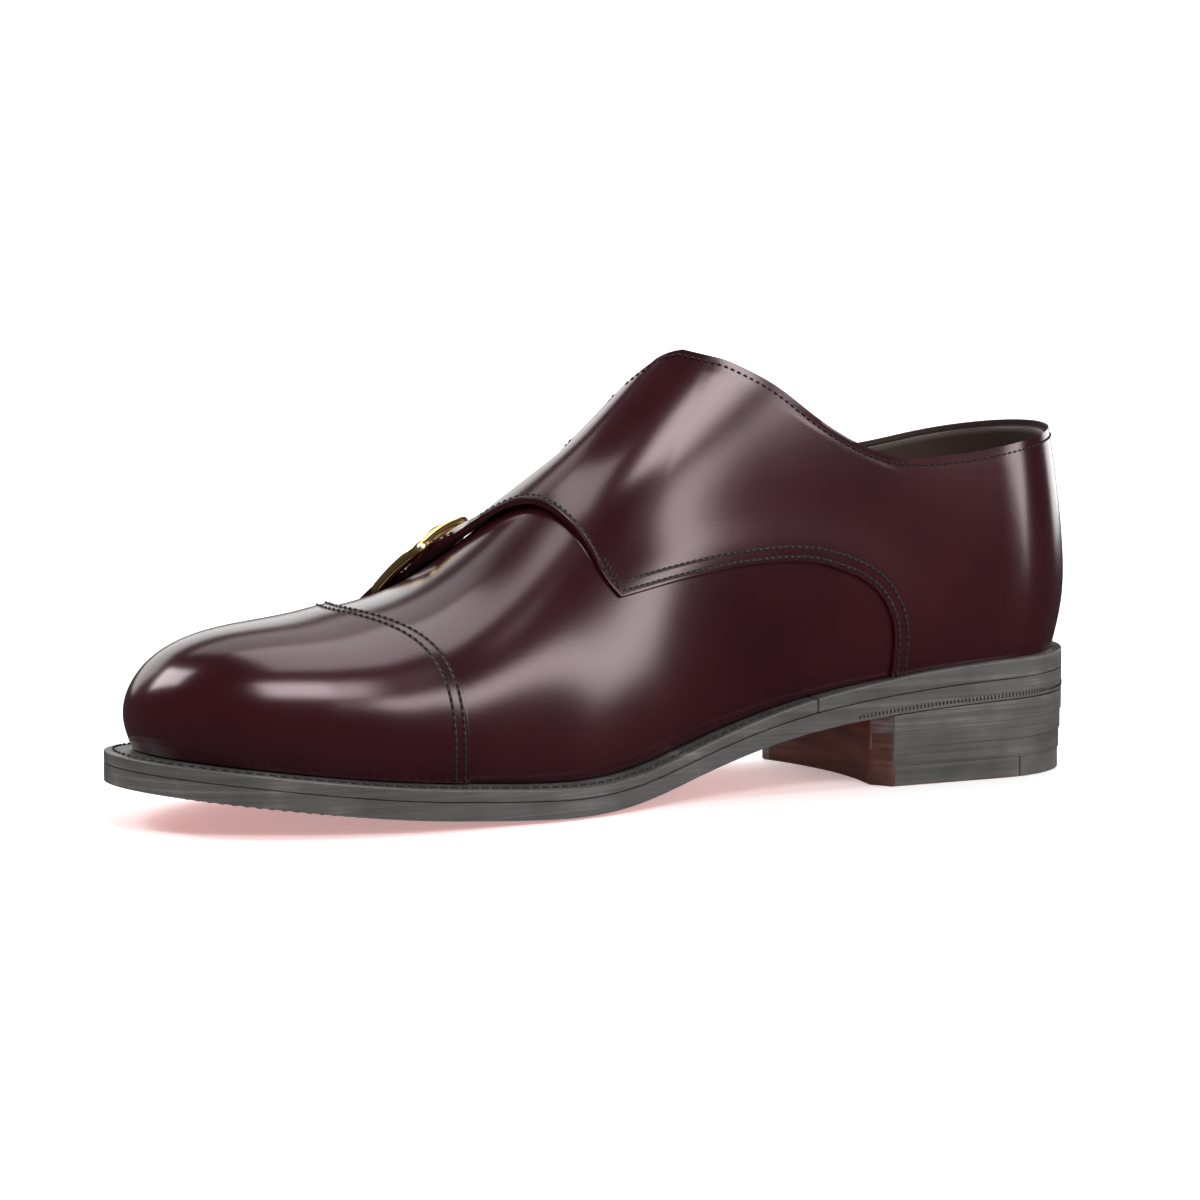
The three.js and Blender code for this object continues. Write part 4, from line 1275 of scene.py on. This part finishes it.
def nail_heads():
    """Groups of three nails with low domed heads, given as rings of radius and height."""
    points, faces = [], []
    head = ((0.95, 0.3), (0.95, 0.02), (0.6, -0.06), (0.15, -0.08))
    turn = np.linspace(0, 2 * np.pi, 14, endpoint=False)
    for x, y in NAILS:
        for around in (0.3, 2.4, 4.5):
            cx, cy = x + 2.9 * math.cos(around), y + 2.9 * math.sin(around)
            start = len(points)
            for radius, z in head:
                points += [(cx + radius * math.cos(a), cy + radius * math.sin(a), z) for a in turn]
            faces += stack_faces(len(head), len(turn), start)
    return add_mesh("heel_nails", np.array(points), faces, [BRASS])


settle(nail_heads(), "brass")


def tick_band():
    """Short pressed marks round the heel seat, over the first lift."""
    ticks = []
    u = np.linspace(0, 1, 240)
    line = both_sides((BREAST + 6) * (1 - np.sin(u * np.pi / 2)), even(0.0))
    spots, ways = even_steps(np.column_stack([line, 0 * line[:, 0]]), 1.25)
    for spot, way in zip(spots, ways):
        out = np.array([way[1], -way[0], 0.0])
        out = out if out @ (spot - np.array([40, 0, 0])) > 0 else -out
        low = float(under_edge(spot[0])) + 0.4
        path = np.array([(spot[0], spot[1], low), (spot[0], spot[1], low + 1.8)])
        ticks.append((path, np.tile(out, (2, 1))))
    return ticks


settle(stitches("heel_seat_marks", tick_band(), EDGE_AND_CHANNEL_SHADE, 2.0, 0.9, 0.5, 0.25), "edge_leather")

# ---------------------------------------------------------------- floor, light and camera

# A floor that curves up into a backdrop far behind the shoe.
FLOOR_FRONT = 4000
FLOOR_BACK = -3000
FLOOR_CURVE = 1500
FLOOR_SIDE = 6000
BACKDROP_TOP = 5000
sweep = np.linspace(0, np.pi / 2, 24)
profile = [(FLOOR_FRONT, 0)]
profile += [(FLOOR_BACK - FLOOR_CURVE * math.sin(a), FLOOR_CURVE * (1 - math.cos(a))) for a in sweep]
profile += [(FLOOR_BACK - FLOOR_CURVE, BACKDROP_TOP)]
floor_points = np.array([(x, y, z) for x in (-FLOOR_SIDE, FLOOR_SIDE) for y, z in profile])
floor = add_mesh("floor", floor_points, grid_faces(2, len(profile)), [])
floor_material, floor_tree, floor_shader = new_material("floor")
floor_shader.inputs["Base Color"].default_value = (0.9, 0.9, 0.9, 1)
floor_shader.inputs["Roughness"].default_value = 0.6
# Painted light: the floor glows white though it is no lamp. The glow is 0.3 near the shoe, which lifts the
# shoe's shadow on it, and rises smoothly to full far off.
floor_shader.inputs["Emission Color"].default_value = (1, 1, 1, 1)
where = place_nodes(floor_tree)
far_off = node(floor_tree, "ShaderNodeVectorMath", {0: where}, operation="LENGTH").outputs["Value"]
fade = {"Value": far_off, "From Min": 0.25, "From Max": 0.75, "To Min": 0.3}
glow = node(floor_tree, "ShaderNodeMapRange", fade, interpolation_type="SMOOTHSTEP").outputs[0]
floor_tree.links.new(glow, floor_shader.inputs["Emission Strength"])
floor.data.materials.append(floor_material)
floor.visible_glossy = False

VIEW_TURN = 27.2
VIEW_RISE = 6.65
VIEW_FAR = 1632
VIEW_POINT = (150, 0, 50)
VIEW_AIM = (150, 2, 55)
LENS = 172
LAMP_AIM = (150, 0, 60)


def direction(turn, rise):
    """A direction: degrees from the inner side towards the toe, degrees up."""
    turn, rise = math.radians(turn), math.radians(rise)
    return Vector((math.sin(turn) * math.cos(rise), math.cos(turn) * math.cos(rise), math.sin(rise)))


def stand(name, data, place):
    thing = bpy.data.objects.new(name, data)
    bpy.context.collection.objects.link(thing)
    thing.location = place
    thing.rotation_mode = "QUATERNION"
    return thing


lens = bpy.data.cameras.new("camera")
lens.lens = LENS
lens.sensor_width = 36
lens.clip_start = 0.05
lens.clip_end = 60
camera = stand("camera", lens, Vector(metres(VIEW_POINT)) + direction(VIEW_TURN, VIEW_RISE) * VIEW_FAR / 1000)
camera.rotation_quaternion = (Vector(metres(VIEW_AIM)) - camera.location).to_track_quat("-Z", "Y")
bpy.context.scene.camera = camera

world = bpy.data.worlds.new("studio")
bpy.context.scene.world = world
world.use_nodes = True
world.node_tree.nodes["Background"].inputs["Color"].default_value = (1, 1, 1, 1)
world.node_tree.nodes["Background"].inputs["Strength"].default_value = 0.05
bpy.context.scene.view_settings.view_transform = "Standard"


def soft_box(name, start, end, width, radiance):
    """A rectangular lamp along the line between two points, turned towards the shoe."""
    start, end, aim = (Vector(metres(point)) for point in (start, end, LAMP_AIM))
    middle = (start + end) / 2
    back = (middle - aim).normalized()
    along = end - start
    along -= along.dot(back) * back
    data = bpy.data.lights.new(name, "AREA")
    data.shape = "RECTANGLE"
    data.size, data.size_y = along.length, width / 1000
    data.energy = radiance * math.pi * data.size * data.size_y
    along.normalize()
    lamp = stand(name, data, middle)
    lamp.rotation_quaternion = Matrix((along, back.cross(along), back)).transposed().to_quaternion()
    lamp.visible_camera = False


def sky(turn, rise, far):
    """A point seen from the shoe: degrees from the inner side towards the toe, degrees up, distance."""
    return Vector(LAMP_AIM) + far * direction(turn, rise)


soft_box("low", sky(-62, 0, 1900), sky(-9, 28, 1900), 300, 7)
soft_box("front", sky(-10, 42, 1600), sky(26, 41, 1600), 480, 9.5)
soft_box("over", (-120, 500, 1260), (-120, -450, 1260), 860, 3.3)
soft_box("over_back", (-120, -450, 1260), (-120, -1250, 1260), 1100, 1.3)
soft_box("behind", (-450, -1400, 550), (750, -1400, 550), 600, 1.6)
soft_box("toe", sky(140, 30, 1300), sky(103, 46, 1300), 420, 8.5)
soft_box("heel", sky(-130, 2, 1500), sky(-104, 2, 1500), 260, 3)
